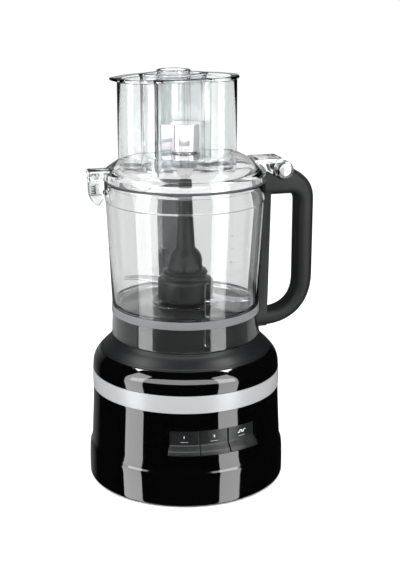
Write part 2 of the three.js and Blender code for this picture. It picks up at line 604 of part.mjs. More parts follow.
function blade(z, bearingDeg, grow = 0) {
  const depth = BLADE.thickness + 2 * grow;
  const options = { depth, bevelEnabled: false, curveSegments: 10 };
  const geometry = new THREE.ExtrudeGeometry(bladeShape(grow), options).translate(0, 0, z - grow);
  return aroundZ(toSolid(geometry), bearingDeg);
}

const LOWER_BLADE = [BLADE.lowerZ, -38];
const UPPER_BLADE = [BLADE.upperZ, 142];

function bladeHub() {
  const low = HUB.low;
  const body = turned([
    [HUB.cavity, low], [HUB.cylinder - 0.6, low], [HUB.cylinder, low + 0.8], [HUB.cylinder, 221],
    [28.4, 223.4], [24.6, 224.4], [23.4, 226.4], [23.4, 228.8], [24.4, 230], [24, 231.6], [20, 233],
    [19.2, 237], [18.4, 244], [16.6, 250.6], [13.4, 254.8], [10.6, 257.4], [9.2, 280], [7.6, 309],
    [7.2, 317], [6.6, 320], [5, 321.6], [0, 321.6], [0, 257.5], [8.3, 257.5], [8.3, 240.5],
    [HUB.cavity, 240.5],
  ], 28);
  return cut(body, blade(...LOWER_BLADE, GAP), blade(...UPPER_BLADE, GAP));
}

// ---------------------------------------------------------------- the object

const assembly = new THREE.Group();
assembly.position.x = -CENTRE_X;

function add(name, solid, material) {
  const mesh = new THREE.Mesh(toGeometry(solid), FINISHES[material]());
  mesh.name = name;
  assembly.add(mesh);
}

add('base_housing', housing(), 'glossBlack');
add('trim_band', trimBand(), 'brushedBand');
add('base_deck', deck(), 'satinBlack');
add('key_frame', keyFrame(), 'satinBlack');
['low', 'high', 'pulse'].forEach((speed, i) => {
  add(`key_${speed}`, key(i), 'keyBlack');
  add(`switch_${speed}`, keySwitch(i), 'satinBlack');
});
add('power_inlet', inlet(), 'rubber');
add('bottom_cover', bottomCover(), 'satinBlack');
footPlaces().forEach((place, i) => add(`foot_${i + 1}`, foot(place), 'rubber'));
screwPlaces().forEach((place, i) => add(`cover_screw_${i + 1}`, screw(place), 'steel'));

add('motor_can', motorCan(), 'steel');
add('motor_plate', motorPlate(), 'steel');
add('motor_stator', stator(), 'steel');
add('motor_winding_low', winding(28.8, MOTOR.low + 5.6), 'copper');
add('motor_winding_high', winding(MOTOR.high - 7.6, MOTOR.high + 2), 'copper');
add('motor_bearing_low', bearing(20.4), 'steel');
add('motor_bearing_high', bearing(MOTOR.plate), 'steel');
add('circuit_board', circuitBoard(), 'board');
add('motor_rotor', rotor(), 'steel');
add('drive_shaft', driveShaft(), 'steel');
add('cooling_fan', coolingFan(), 'white');

add('bowl', bowl(), 'clear');
add('handle_front', handleFront(), 'handleBlack');
add('handle_rear', handleRear(), 'handleBlack');

add('lid', lid(), 'clear');
add('lid_gasket', gasket(), 'seal');
add('hinge_pin', hingePin(), 'steel');
add('pin_cap_front', pinCap(-1), 'chrome');
add('pin_cap_rear', pinCap(1), 'chrome');
add('latch_pin', latchPin(), 'steel');
add('lid_latch', latch(), 'smoky');
add('latch_spring', latchSpring(), 'rubber');

add('pusher_large', largePusher(), 'clear');
add('pusher_medium', mediumPusher(), 'clear');
add('pusher_small', smallPusher(), 'clear');

add('adjuster_collar', adjusterCollar(), 'clear');
add('adjuster_knob', adjusterKnob(), 'chrome');
add('adjuster_shaft', adjusterShaft(), 'steel');
add('disc_drive_cup', driveCup(), 'white');

add('blade_hub', bladeHub(), 'hubGrey');
add('blade_lower', blade(...LOWER_BLADE), 'steel');
add('blade_upper', blade(...UPPER_BLADE), 'steel');

const foodProcessor = new THREE.Group();
foodProcessor.add(assembly);

export default foodProcessor;
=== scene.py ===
"""The finish of a food processor: every visible moulding, seal, blade and print around its fixed frame.

Sizes are in millimetres in this file and become metres in the meshes. +Z is up and the keys face -Y.
"""

import math

import bmesh
import bpy
from bpy.props import FloatProperty, FloatVectorProperty, PointerProperty
from mathutils import Matrix, Vector


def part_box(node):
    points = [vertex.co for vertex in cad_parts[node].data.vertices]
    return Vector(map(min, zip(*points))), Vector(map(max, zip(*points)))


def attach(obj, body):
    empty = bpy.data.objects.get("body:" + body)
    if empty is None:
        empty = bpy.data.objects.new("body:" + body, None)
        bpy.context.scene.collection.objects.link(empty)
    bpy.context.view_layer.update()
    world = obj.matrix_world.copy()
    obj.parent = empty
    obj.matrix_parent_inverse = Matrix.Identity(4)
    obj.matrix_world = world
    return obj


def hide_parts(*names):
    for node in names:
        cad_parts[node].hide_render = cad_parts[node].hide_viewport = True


bl_info = {
    "name": "Food Processor Finish",
    "version": (1, 0, 0),
    "blender": (4, 5, 0),
    "location": "View3D > Sidebar > Processor",
    "description": "Builds the visible mouldings, clear parts, blades and prints of a food processor",
    "category": "Object",
}

MM = 0.001
ROUND = 192                      # facets around a large turned piece
FINE = 96                        # facets around a small turned piece
GAP = 0.3                        # clearance between neighbouring mouldings
PAST = 5                         # how far a cutting shape reaches past what it cuts

BAND_SEAT = 1.9                  # depth of the groove that the silver band sits in
WINDOW_MARGIN = 0.5              # degrees from the outer keys to the ends of their window
KEY_FACE = 100.6                 # radius of the keys' printed faces
INLET_BORE = 9.3
RIB_BEARINGS = (-88, 92)         # the bowl's guide ribs, in degrees from +X
BOWL_FLOOR = 193
BOWL_BAND = 311                  # height where the bowl's wall thickens into its rim
BOWL_LOW_RADIUS, BOWL_HIGH_RADIUS = 79.7, 84.8
HINGE_BORE = 3.8
LATCH_X, LATCH_Z, LATCH_BORE = -97.5, 339.5, 1.9
CHUTE_BACK, CHUTE_LOBE, CHUTE_LOBE_X, CHUTE_CORNER = 76, 28, 37.5, 8
RECESS_Y, RECESS = -15, 34       # the chute wall's hollow around the knob
LENS_Y, LENS_HALF, LENS_DEPTH = 46, 35, 21
TUBE_Y, TUBE = 47, 16.2          # the small pusher's axis and radius
SLIDE = 0.7                      # side clearance between one pusher and the next
CHUTE_LOBE_Y = math.sqrt((CHUTE_BACK - CHUTE_LOBE) ** 2 - CHUTE_LOBE_X ** 2)

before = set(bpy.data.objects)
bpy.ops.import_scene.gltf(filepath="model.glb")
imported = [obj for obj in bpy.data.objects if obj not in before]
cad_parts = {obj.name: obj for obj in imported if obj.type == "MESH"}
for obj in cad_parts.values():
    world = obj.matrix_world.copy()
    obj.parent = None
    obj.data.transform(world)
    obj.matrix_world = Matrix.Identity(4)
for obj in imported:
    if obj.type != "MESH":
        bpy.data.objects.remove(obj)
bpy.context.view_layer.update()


def span(node):
    """A frame node's lowest and highest corner in millimetres, measured from the motor's axis."""
    low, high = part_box(node)
    shift = Vector((AXIS_X, 0, 0))
    return (low - shift) / MM, (high - shift) / MM


def middle(node):
    """The middle of a frame node, in the same measure."""
    low, high = span(node)
    return (low + high) / 2


AXIS_X = sum(corner.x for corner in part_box("trim_band")) / 2


# ---------------------------------------------------------------- settings a user would change

def colour(name, description, value):
    """A colour setting, given as the sRGB hex value of the finish."""
    return FloatVectorProperty(name=name, description=description, subtype="COLOR", size=3,
                               min=0, max=1, default=linear(value))


def linear(value):
    """The linear red, green and blue of an sRGB hex value such as "#1a2b3c"."""
    parts = [int(value[i:i + 2], 16) / 255 for i in (1, 3, 5)]
    return tuple(p / 12.92 if p <= 0.04045 else ((p + 0.055) / 1.055) ** 2.4 for p in parts)


def length(name, description, value, low=0.0, high=2000.0):
    return FloatProperty(name=name, description=description, default=value, min=low, max=high)


class BaseSettings(bpy.types.PropertyGroup):
    gloss: colour("Gloss black", "Polished housing", "#020202")
    satin: colour("Satin black", "Shoulder, plinth and keys", "#121314")
    band: colour("Band", "Silver band round the housing", "#999a9b")
    print_ink: colour("Print", "Marks on the keys", "#e6e7e8")
    edge_ease: length("Edge ease", "Rounding of the moulded edges, mm", 1.2, 0.1, 5)


class BowlSettings(bpy.types.PropertyGroup):
    clear: colour("Clear plastic", "Tint of the bowl", "#edeeee")
    handle: colour("Handle", "Textured handle plastic", "#131415")
    grip_ease: length("Grip rounding", "Rounding of the handle's edges, mm", 8.0, 2, 9)
    wall: length("Wall", "Thickness of the bowl's wall, mm", 2.4, 1, 5)


class LidSettings(bpy.types.PropertyGroup):
    clear: colour("Clear plastic", "Tint of the lid and pushers", "#f9fafa")
    smoke: colour("Latch tint", "Tinted latch plastic", "#e4e6e6")
    seal: colour("Seal", "Silicone ring under the lid", "#3a3b3d")
    chrome: colour("Chrome", "Slicing adjuster and pin caps", "#c6c6c8")
    chute_wall: length("Chute wall", "Thickness of the chute's wall, mm", 2.5, 1, 5)
    pusher_wall: length("Pusher wall", "Thickness of the pushers' walls, mm", 2.0, 1, 4)


class CutterSettings(bpy.types.PropertyGroup):
    hub: colour("Hub", "Dark nylon hub", "#1a1b1c")
    steel: colour("Blade steel", "Ground stainless steel", "#c2c4c6")
    blade: length("Blade", "Thickness of a blade, mm", 1.8, 1, 4)


class StudioSettings(bpy.types.PropertyGroup):
    distance: length("Distance", "Camera from the motor's axis along the floor, mm", 1300, 300, 5000)
    height: length("Height", "Camera above the surface, mm", 588, 50, 3000)
    around: length("Around", "Camera's place round the object, degrees to its left", 15, -180, 180)
    turn: length("Turn", "Camera turned right from the motor's axis, degrees", 0.7, -20, 20)
    tilt: length("Tilt", "Camera looking down, degrees", 16.05, -90, 90)
    lens: length("Lens", "Focal length, mm", 78.3, 10, 300)
    floor: colour("Floor", "Plain pale floor", "#fdfdfd")


def settings(group):
    return getattr(bpy.context.scene, f"processor_{group}")


# ---------------------------------------------------------------- outlines

def eased(corners, steps=4, closed=True):
    """The outline through corners of (x, y) or (x, y, ease), each rounded off over its ease."""
    outline = []
    count = len(corners)
    for i, corner in enumerate(corners):
        here = Vector(corner[:2])
        ease = corner[2] if len(corner) > 2 else 0
        if not ease or (not closed and i in (0, count - 1)):
            outline.append(here)
            continue
        back = Vector(corners[i - 1][:2]) - here
        onward = Vector(corners[(i + 1) % count][:2]) - here
        start = here + back.normalized() * min(ease, back.length * 0.49)
        end = here + onward.normalized() * min(ease, onward.length * 0.49)
        for k in range(steps + 1):
            t = k / steps
            outline.append(start * (1 - t) ** 2 + here * 2 * t * (1 - t) + end * t * t)
    return outline


def arc(x, y, radius, start, end, steps):
    """Points on an arc, its angles in degrees."""
    angles = [math.radians(start + (end - start) * i / steps) for i in range(steps + 1)]
    return [Vector((x + radius * math.cos(a), y + radius * math.sin(a))) for a in angles]


def thinned(points, least=0.05):
    """Drops points that lie almost on the one before."""
    kept = [points[0]]
    for point in points[1:]:
        if (point - kept[-1]).length > least:
            kept.append(point)
    return kept


def both_sides(half):
    """A right-hand half outline, from the front middle to the back middle, with its mirror image."""
    half = thinned(half)
    return half + [Vector((-p.x, p.y)) for p in reversed(half[1:-1])]


# ---------------------------------------------------------------- bmesh shapes

def spun(outline, steps=ROUND, sweep=360.0, start=0.0):
    """Turns a closed outline of (radius, z) about the Z axis. A part turn has its two ends closed."""
    bm = bmesh.new()
    loop = [bm.verts.new((p[0] * MM, 0, p[1] * MM)) for p in outline]
    edges = [bm.edges.new((a, b)) for a, b in zip(loop, loop[1:] + loop[:1])]
    full = abs(sweep - 360) < 1e-6
    bmesh.ops.rotate(bm, verts=loop, cent=(0, 0, 0), matrix=Matrix.Rotation(math.radians(start), 3, "Z"))
    bmesh.ops.spin(bm, geom=loop + edges, cent=(0, 0, 0), axis=(0, 0, 1), angle=math.radians(sweep),
                   steps=steps, use_merge=full, use_duplicate=False)
    bmesh.ops.remove_doubles(bm, verts=bm.verts, dist=1e-6)
    bmesh.ops.dissolve_degenerate(bm, edges=bm.edges, dist=1e-7)
    if not full:
        open_edges = [e for e in bm.edges if e.is_boundary]
        bmesh.ops.holes_fill(bm, edges=open_edges, sides=0)
    bmesh.ops.recalc_face_normals(bm, faces=bm.faces)
    return bm


def raised(outline, low, high):
    """Carries a flat outline of (x, y) straight up from z = low to z = high."""
    bm = bmesh.new()
    loop = [bm.verts.new((p[0] * MM, p[1] * MM, low * MM)) for p in outline]
    face = bm.faces.new(loop)
    made = bmesh.ops.extrude_face_region(bm, geom=[face])["geom"]
    moved = [v for v in made if isinstance(v, bmesh.types.BMVert)]
    bmesh.ops.translate(bm, verts=moved, vec=(0, 0, (high - low) * MM))
    bmesh.ops.recalc_face_normals(bm, faces=bm.faces)
    return bm


def flat_rims(bm, *heights):
    """The edges of the flat rims at these heights, which a bevel then rounds."""
    levels = [h * MM for h in heights]
    return [e for e in bm.edges if len(e.link_faces) == 2 and e.calc_face_angle(0) > 0.9
            and any(all(abs(v.co.z - level) < 1e-6 for v in e.verts) for level in levels)]


def rounded(bm, edges, width, segments=3):
    bmesh.ops.bevel(bm, geom=edges, offset=width * MM, offset_type="OFFSET", affect="EDGES",
                    segments=segments, profile=0.5, material=-1, clamp_overlap=True)
    return bm


def crossways(outline, half_width):
    """Carries an outline of (x, z) along Y, half to each side."""
    return rotated(raised(outline, -half_width, half_width), 90, "X")


def block(low, high, ease=0.0, segments=3):
    bm = bmesh.new()
    bmesh.ops.create_cube(bm, size=1)
    low, high = Vector(low) * MM, Vector(high) * MM
    bmesh.ops.scale(bm, verts=bm.verts, vec=high - low)
    bmesh.ops.translate(bm, verts=bm.verts, vec=(low + high) / 2)
    return rounded(bm, bm.edges[:], ease, segments) if ease else bm


def rod(radius, low, high, ease=0.0, steps=FINE):
    """A round bar upright on the Z axis."""
    return spun(eased([(0, low), (radius, low, ease), (radius, high, ease), (0, high)]), steps)


def cross_bar(x, z, radius, low, high, ease=0.0):
    """A round bar along Y, centred on (x, z)."""
    return moved(rotated(rod(radius, low, high, ease), -90, "X"), x, 0, z)


def rotated(bm, degrees, axis):
    turn = Matrix.Rotation(math.radians(degrees), 3, axis)
    bmesh.ops.rotate(bm, verts=bm.verts, cent=(0, 0, 0), matrix=turn)
    return bm


def turned_to(bm, degrees):
    return rotated(bm, degrees, "Z")


def moved(bm, x=0.0, y=0.0, z=0.0):
    bmesh.ops.translate(bm, verts=bm.verts, vec=(x * MM, y * MM, z * MM))
    return bm


def together(*shapes):
    """One bmesh that holds several separate closed shapes."""
    whole = shapes[0]
    for other in shapes[1:]:
        spare = bpy.data.meshes.new("spare")
        other.to_mesh(spare)
        whole.from_mesh(spare)
        other.free()
        bpy.data.meshes.remove(spare)
    return whole


def carved(whole, tool, operation):
    """Joins or cuts one closed shape with another: operation is UNION, DIFFERENCE or INTERSECT."""
    objects = []
    for bm in (whole, tool):
        mesh = bpy.data.meshes.new("carving")
        bm.to_mesh(mesh)
        bm.free()
        obj = bpy.data.objects.new("carving", mesh)
        bpy.context.scene.collection.objects.link(obj)
        objects.append(obj)
    modifier = objects[0].modifiers.new("carve", "BOOLEAN")
    modifier.operation = operation
    modifier.solver = "EXACT"
    modifier.object = objects[1]
    result = bmesh.new()
    graph = bpy.context.evaluated_depsgraph_get()
    result.from_object(objects[0], graph)
    for obj in objects:
        bpy.data.meshes.remove(obj.data)
    bmesh.ops.remove_doubles(result, verts=result.verts, dist=1e-7)
    return result


# ---------------------------------------------------------------- finishing a piece

def finish_piece(name, bm, material, body, replaced=(), smooth=35.0):
    """Moves a shape from the motor's axis to its place and hands it over as a piece of the object."""
    bmesh.ops.translate(bm, verts=bm.verts, vec=(AXIS_X, 0, 0))
    mesh = bpy.data.meshes.new(name)
    bm.to_mesh(mesh)
    bm.free()
    mesh.materials.append(MATERIALS[material])
    mesh.shade_smooth()
    mesh.set_sharp_from_angle(angle=math.radians(smooth))
    piece = bpy.data.objects.new(name, mesh)
    bpy.context.scene.collection.objects.link(piece)
    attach(piece, body)
    if replaced:
        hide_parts(*replaced)
    return piece


def dress(node_name, material):
    """Gives a frame node that stays as it is its finish."""
    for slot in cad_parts[node_name].material_slots:
        slot.material = MATERIALS[material]


# ---------------------------------------------------------------- materials

def node(tree, kind, options=None, **inputs):
    """Adds a node with its options set, and its inputs set or linked. X0 and X1 name inputs by place."""
    made = tree.nodes.new(kind)
    for key, value in (options or {}).items():
        setattr(made, key, value)
    for key, value in inputs.items():
        place = int(key[1:]) if key[0] == "X" and key[1:].isdigit() else key.replace("_", " ")
        socket = made.inputs[place]
        if isinstance(value, bpy.types.NodeSocket):
            tree.links.new(value, socket)
        else:
            socket.default_value = value
    return made


MATERIALS = {}


def surface(name, colour_value, roughness, **shader):
    """A new material with the principled shader, its plain values set, and its tree to add to."""
    material = bpy.data.materials.new(name)
    material.use_nodes = True
    tree = material.node_tree
    bsdf = tree.nodes["Principled BSDF"]
    bsdf.inputs["Base Color"].default_value = (*colour_value, 1)
    bsdf.inputs["Roughness"].default_value = roughness
    for key, value in shader.items():
        bsdf.inputs[key.replace("_", " ")].default_value = value
    MATERIALS[name] = material
    return tree, bsdf


def grain(tree, bsdf, size_mm, strength, depth_mm, detail=3.0):
    """A moulded grain: noise of one size in millimetres, as a bump of that depth."""
    place = node(tree, "ShaderNodeTexCoord")
    noise = node(tree, "ShaderNodeTexNoise", Vector=place.outputs["Object"], Scale=1000 / size_mm,
                 Detail=detail)
    bump = node(tree, "ShaderNodeBump", Height=noise.outputs["Fac"], Strength=strength,
                Distance=depth_mm * MM)
    tree.links.new(bump.outputs["Normal"], bsdf.inputs["Normal"])
    return place, noise


def uneven_gloss(tree, bsdf, size_mm, low, high):
    """Roughness that drifts between two values over patches of this size, as handling leaves it."""
    place = node(tree, "ShaderNodeTexCoord")
    patches = node(tree, "ShaderNodeTexNoise", Vector=place.outputs["Object"], Scale=1000 / size_mm,
                   Detail=4.0)
    scale = node(tree, "ShaderNodeMapRange", Value=patches.outputs["Fac"], X1=0.35, X2=0.65, X3=low, X4=high)
    tree.links.new(scale.outputs["Result"], bsdf.inputs["Roughness"])


def polished_abs():
    """Polished black ABS: deep colour, mirror gloss with a slow ripple from the moulding."""
    tree, bsdf = surface("polished_black_abs", settings("base").gloss, 0.05, IOR=1.53, Coat_Weight=1.0,
                         Coat_Roughness=0.03)
    grain(tree, bsdf, 14, 0.25, 0.012, 1.0)
    uneven_gloss(tree, bsdf, 35, 0.035, 0.075)


def satin_abs():
    """Satin black ABS: fine spark-eroded texture that spreads the highlights."""
    tree, bsdf = surface("satin_black_abs", settings("base").satin, 0.38, Specular_IOR_Level=0.3)
    grain(tree, bsdf, 0.7, 0.35, 0.02)
    uneven_gloss(tree, bsdf, 28, 0.34, 0.42)


def key_abs():
    """Satin black key caps: a little smoother than the shoulder, polished by fingers."""
    tree, bsdf = surface("satin_key_abs", settings("base").satin, 0.36, IOR=1.53)
    grain(tree, bsdf, 0.5, 0.25, 0.012)
    uneven_gloss(tree, bsdf, 9, 0.28, 0.4)


def silver_band():
    """Satin silver foil band: fine lines brushed round the housing stretch the highlights."""
    tree, bsdf = surface("brushed_silver_band", settings("base").band, 0.34, Metallic=0.25)
    brushed(tree, bsdf, (25, 25, 2600), 0, (0.28, 0.42), 4.0, 0.25)


def brushed(tree, bsdf, lines_per_metre, turn, gloss, detail, strength):
    """Brushed or ground lines: noise stretched along them, in the roughness and as a fine bump."""
    place = node(tree, "ShaderNodeTexCoord")
    stretch = node(tree, "ShaderNodeMapping", Vector=place.outputs["Object"])
    stretch.inputs["Scale"].default_value = lines_per_metre
    stretch.inputs["Rotation"].default_value = (0, 0, math.radians(turn))
    lines = node(tree, "ShaderNodeTexNoise", Vector=stretch.outputs["Vector"], Scale=1.0, Detail=detail)
    rough = node(tree, "ShaderNodeMapRange", Value=lines.outputs["Fac"], X1=0.3, X2=0.7, X3=gloss[0],
                 X4=gloss[1])
    tree.links.new(rough.outputs["Result"], bsdf.inputs["Roughness"])
    bump = node(tree, "ShaderNodeBump", Height=lines.outputs["Fac"], Strength=strength, Distance=0.01 * MM)
    tree.links.new(bump.outputs["Normal"], bsdf.inputs["Normal"])


def clear_plastic(name, tint, low, high, ior=1.54, clear=1.0):
    """Moulded clear copolyester: clear walls with greyer edges (painted shade at grazing angles, partly the
    longer path through the plastic and partly the dark lines that refraction gives), a faint ripple and a few
    hazy patches.
    """
    tree, bsdf = surface(name, tint, low, IOR=ior, Transmission_Weight=clear)
    # Painted edge shade: the base colour darkens towards grazing angles, standing in for the dark edge lines
    # of refraction and partly for the longer path through the plastic.
    facing = node(tree, "ShaderNodeLayerWeight", Blend=0.5)
    edge = node(tree, "ShaderNodeMapRange", Value=facing.outputs["Facing"], X1=0.72, X2=1.0, X3=0.0, X4=1.0)
    mix = node(tree, "ShaderNodeMix", {"data_type": "RGBA"}, X0=edge.outputs["Result"], X6=(*tint, 1),
               X7=(*(0.28 * part for part in tint), 1))
    tree.links.new(mix.outputs[2], bsdf.inputs["Base Color"])
    grain(tree, bsdf, 30, 0.12, 0.02, 1.0)
    uneven_gloss(tree, bsdf, 22, low, high)


def handle_plastic():
    """Textured black handle plastic: leather-like moulded grain, no clear highlight."""
    tree, bsdf = surface("textured_handle_plastic", settings("bowl").handle, 0.52, Specular_IOR_Level=0.3)
    grain(tree, bsdf, 0.9, 0.5, 0.035)
    uneven_gloss(tree, bsdf, 30, 0.46, 0.56)


def chrome_plate():
    """Chrome plate on plastic: bright, with a soft mirror finish."""
    tree, bsdf = surface("chrome_plate", settings("lid").chrome, 0.12, Metallic=0.6)
    grain(tree, bsdf, 9, 0.1, 0.01, 1.0)
    uneven_gloss(tree, bsdf, 12, 0.08, 0.16)


def silicone():
    """Dark silicone seal: soft, slightly dusty."""
    tree, bsdf = surface("silicone_seal", settings("lid").seal, 0.6, IOR=1.42)
    grain(tree, bsdf, 1.2, 0.2, 0.02)
    uneven_gloss(tree, bsdf, 10, 0.52, 0.68)


def black_rubber():
    """Moulded black rubber: matte, finely pitted."""
    tree, bsdf = surface("moulded_rubber", linear("#1a1a1b"), 0.8, IOR=1.5)
    grain(tree, bsdf, 0.8, 0.5, 0.05)
    uneven_gloss(tree, bsdf, 6, 0.7, 0.88)


def nylon_hub():
    """Glass-filled nylon: dark grey, satin, faintly mottled by its fibres."""
    tree, bsdf = surface("glass_filled_nylon", settings("cutter").hub, 0.4, Specular_IOR_Level=0.4)
    place, _ = grain(tree, bsdf, 0.6, 0.12, 0.01)
    mottle = node(tree, "ShaderNodeTexNoise", Vector=place.outputs["Object"], Scale=420.0, Detail=5.0)
    dark, light = [tuple(c * k for c in settings("cutter").hub) + (1,) for k in (0.9, 1.15)]
    mix = node(tree, "ShaderNodeMix", {"data_type": "RGBA"}, X0=mottle.outputs["Fac"], X6=dark, X7=light)
    tree.links.new(mix.outputs[2], bsdf.inputs["Base Color"])


def ground_steel():
    """Ground stainless steel: grinding lines across the blade, bright at the cutting bevel."""
    tree, bsdf = surface("ground_stainless_steel", settings("cutter").steel, 0.22, Metallic=1.0)
    brushed(tree, bsdf, (2200, 60, 60), 52, (0.16, 0.34), 3.0, 0.3)


def plain_finishes():
    """The inner pieces' finishes: plating, laminations, enamelled wire, acetal, board and ink."""
    for name, value, roughness, metallic, size in (
            ("zinc_plated_steel", "#b5b7b8", 0.35, 1.0, 5),
            ("stacked_laminations", "#77797b", 0.5, 1.0, 0.6),
            ("enamelled_copper", "#a5613a", 0.35, 1.0, 0.8),
            ("white_acetal", "#ececea", 0.32, 0.0, 2),
            ("coated_board", "#1f5a38", 0.4, 0.0, 1.5),
            ("printed_ink", "#e6e7e8", 0.45, 0.0, 0.4),
            ("dark_print", "#1a1b1c", 0.4, 0.0, 0.4),
            ("grey_print", "#8d9092", 0.5, 0.0, 0.4)):
        tree, bsdf = surface(name, linear(value), roughness, Metallic=metallic)
        grain(tree, bsdf, size, 0.3, 0.02)


class PROCESSOR_OT_materials(bpy.types.Operator):
    """Makes every finish of the food processor"""
    bl_idname = "processor.materials"
    bl_label = "Finishes"

    def execute(self, context):
        tint = settings("lid").clear
        polished_abs()
        satin_abs()
        key_abs()
        silver_band()
        clear_plastic("clear_bowl_copolyester", settings("bowl").clear, 0.0, 0.03, 1.5)
        clear_plastic("clear_lid_copolyester", tint, 0.0, 0.03)
        clear_plastic("clear_pusher_copolyester", tint, 0.0, 0.02, 1.5)
        clear_plastic("tinted_latch_plastic", settings("lid").smoke, 0.05, 0.12, 1.5)
        # A dark see-through finish for the thin strip over the rear of the bowl's wall, behind the shaft.
        clear_plastic("dark_strip_film", linear("#6a6b6d"), 0.1, 0.2, 1.45)
        # Light grey hazy plastic for the ring at the bowl's floor corner: a painted highlight, standing in for
        # the bright ring that the plinth's edge shows through the bowl.
        clear_plastic("painted_highlight_plastic", linear("#b8babb"), 0.5, 0.62, 1.5, 0.84)
        clear_plastic("tinted_collar_plastic", linear("#c4c6c7"), 0.05, 0.12)
        handle_plastic()
        chrome_plate()
        silicone()
        black_rubber()
        nylon_hub()
        ground_steel()
        plain_finishes()
        return {"FINISHED"}


# ---------------------------------------------------------------- motor base

class PROCESSOR_OT_base(bpy.types.Operator):
    """Polished housing, silver band and satin deck with its plinth and spindle tower"""
    bl_idname = "processor.base"
    bl_label = "Motor base"

    def execute(self, context):
        ease = settings("base").edge_ease
        band_low, band_high = span("trim_band")
        low, high, out = band_low.z, band_high.z, band_high.x
        foot = span("base_housing")[1].x
        top = span("base_deck")[1].z
        profile = eased([
            (105, 2.2), (foot - 0.2, 2, 1), (foot, 4, 1), (foot, 20, 8), (107.6, 32, 2), (107.2, 36.6, 1.2),
            (105.3, 40.6, 1.4), (104.7, 47, 4), (104.5, 52, 3), (103, 82, 12), (102.5, 98, 6),
            (102.45, low - 0.15, 0.3), (out - BAND_SEAT, low - 0.25), (out - BAND_SEAT, high + 0.25),
            (102.4, high + 0.15, 0.4), (102.2, 130.5, 2.5), (101.4, 134.6, 2.5), (100, 138.4, 2.5),
            (97.6, 142, 2.5), (93.8, 146.2, 0.3), (91.8, 143.6), (94.8, 139.8), (97.6, 136), (99.1, 133),
            (99.1, 98), (99.8, 82), (101.2, 52), (101.6, 42), (103.4, 35), (105, 18)], 5)
        housing = spun(profile)
        (_, _, key_low), (_, _, key_high) = span("key_low")
        first, last = key_edges()[0] - WINDOW_MARGIN, key_edges()[-1] + WINDOW_MARGIN
        z0, z1 = key_low - GAP, key_high + GAP
        window = spun([(94, z0), (115, z0), (115, z1), (94, z1)], 40, last - first, first - 90)
        housing = carved(housing, window, "DIFFERENCE")
        inlet = cross_bar(0, middle("power_inlet").z, INLET_BORE, 96, 115)
        housing = carved(housing, inlet, "DIFFERENCE")
        finish_piece("housing_shell", housing, "polished_black_abs", "base",
                     ["base_housing"])
        band = spun(eased([(out - 1.7, low), (out, low, 0.35), (out, high, 0.35), (out - 1.7, high)]))
        finish_piece("silver_band", band, "brushed_silver_band", "base",
                     ["trim_band"])
        self.deck(top, ease)
        return {"FINISHED"}

    def deck(self, top, ease):
        """The satin collar with its fine groove, the plinth under the bowl and the tower round the shaft."""
        profile = eased([
            (91.2, 144.1), (93.4, 146.7, 0.5), (92.1, 148.0, 0.2), (91.7, 147.7, 0.15), (91.3, 148.8, 0.3),
            (89, 151, 2), (84.4, 155.4, 4), (82, 158.8, 2.5), (81.4, 162, ease),
            (76.6, 162.2, ease), (76.6, 191.6, 2.4), (14.2, 191.6, 3), (10.2, 189.6), (10.2, top, 1),
            (5.6, top), (5.6, 180), (10.2, 180), (20, 188.8), (72, 188.8), (73.6, 187), (73.6, 160),
            (87.6, 146), (89.2, 144.1)], 5)
        deck = spun(profile)
        for bearing in RIB_BEARINGS:
            backing = turned_to(block((69, -7.4, 163), (73, 7.4, 189)), bearing)
            deck = carved(deck, backing, "UNION")
            slot = turned_to(block((71.6, -5, 163), (80, 5, 195)), bearing)
            deck = carved(deck, slot, "DIFFERENCE")
        finish_piece("satin_deck", deck, "satin_black_abs", "base", ["base_deck"])


def key_edges():
    """The angles of the keys' side edges from the front, in degrees towards +X, from the frame's keys."""
    edges = []
    for name in ("key_low", "key_high", "key_pulse"):
        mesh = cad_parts[name].data
        angles = [math.degrees(math.atan2(v.co.x - AXIS_X, -v.co.y)) for v in mesh.vertices]
        edges += [min(angles), max(angles)]
    return edges


class PROCESSOR_OT_keys(bpy.types.Operator):
    """Three ledged keys with their printed marks"""
    bl_idname = "processor.keys"
    bl_label = "Keys"

    def execute(self, context):
        edges = key_edges()
        for i, name in enumerate(("key_low", "key_high", "key_pulse")):
            start, end = edges[2 * i], edges[2 * i + 1]
            self.key(name, start, end)
            self.marks(name, i, (start + end) / 2)
        return {"FINISHED"}

    def key(self, name, start, end):
        (_, _, low), (_, _, high) = span(name)
        profile = eased([(96.6, low), (106.9, low, 0.4), (107.2, low + 0.8, 0.4), (105.8, low + 4.8, 1),
                         (101, low + 9.8, 1.4), (KEY_FACE, low + 11.4, 0.8), (100.2, high - 0.4, 0.5),
                         (99.6, high, 0.3), (96.6, high)])
        key = spun(profile, 24, end - start, start - 90)
        ends = [e for e in key.edges if any(len(f.verts) > 6 for f in e.link_faces)]
        rounded(key, ends, 0.35, 2)
        finish_piece(f"{name}_cap", key, "satin_key_abs", name, [name])

    def marks(self, name, i, bearing_deg):
        """A numeral or a pulse wave, with a light bar under it, printed on the key's face."""
        low = span(name)[0].z
        height = low + 17.6
        if i < 2:
            mark = numeral(str(i + 1), 4)
        else:
            wave = [(-5, 0), (-2.6, 0), (-2.6, 2.2), (-0.2, 2.2), (-0.2, 0), (2.2, 0), (2.2, 2.2), (4.6, 2.2)]
            mark = stroke(wave, 0.55)
        bar = stroke([(-4, -4), (4, -4)], 0.45)
        for suffix, shape, ink in (("mark", mark, "printed_ink"), ("bar", bar, "grey_print")):
            for vert in shape.verts:
                across, up = vert.co.x / MM, vert.co.y / MM
                radius = KEY_FACE + 0.02 + vert.co.z / MM - 0.4 * (height + up - low - 11.4) / 14.8
                angle = math.radians(bearing_deg) + across / KEY_FACE
                vert.co = Vector((radius * math.sin(angle), -radius * math.cos(angle), height + up)) * MM
            finish_piece(f"{name}_{suffix}", shape, ink, name)


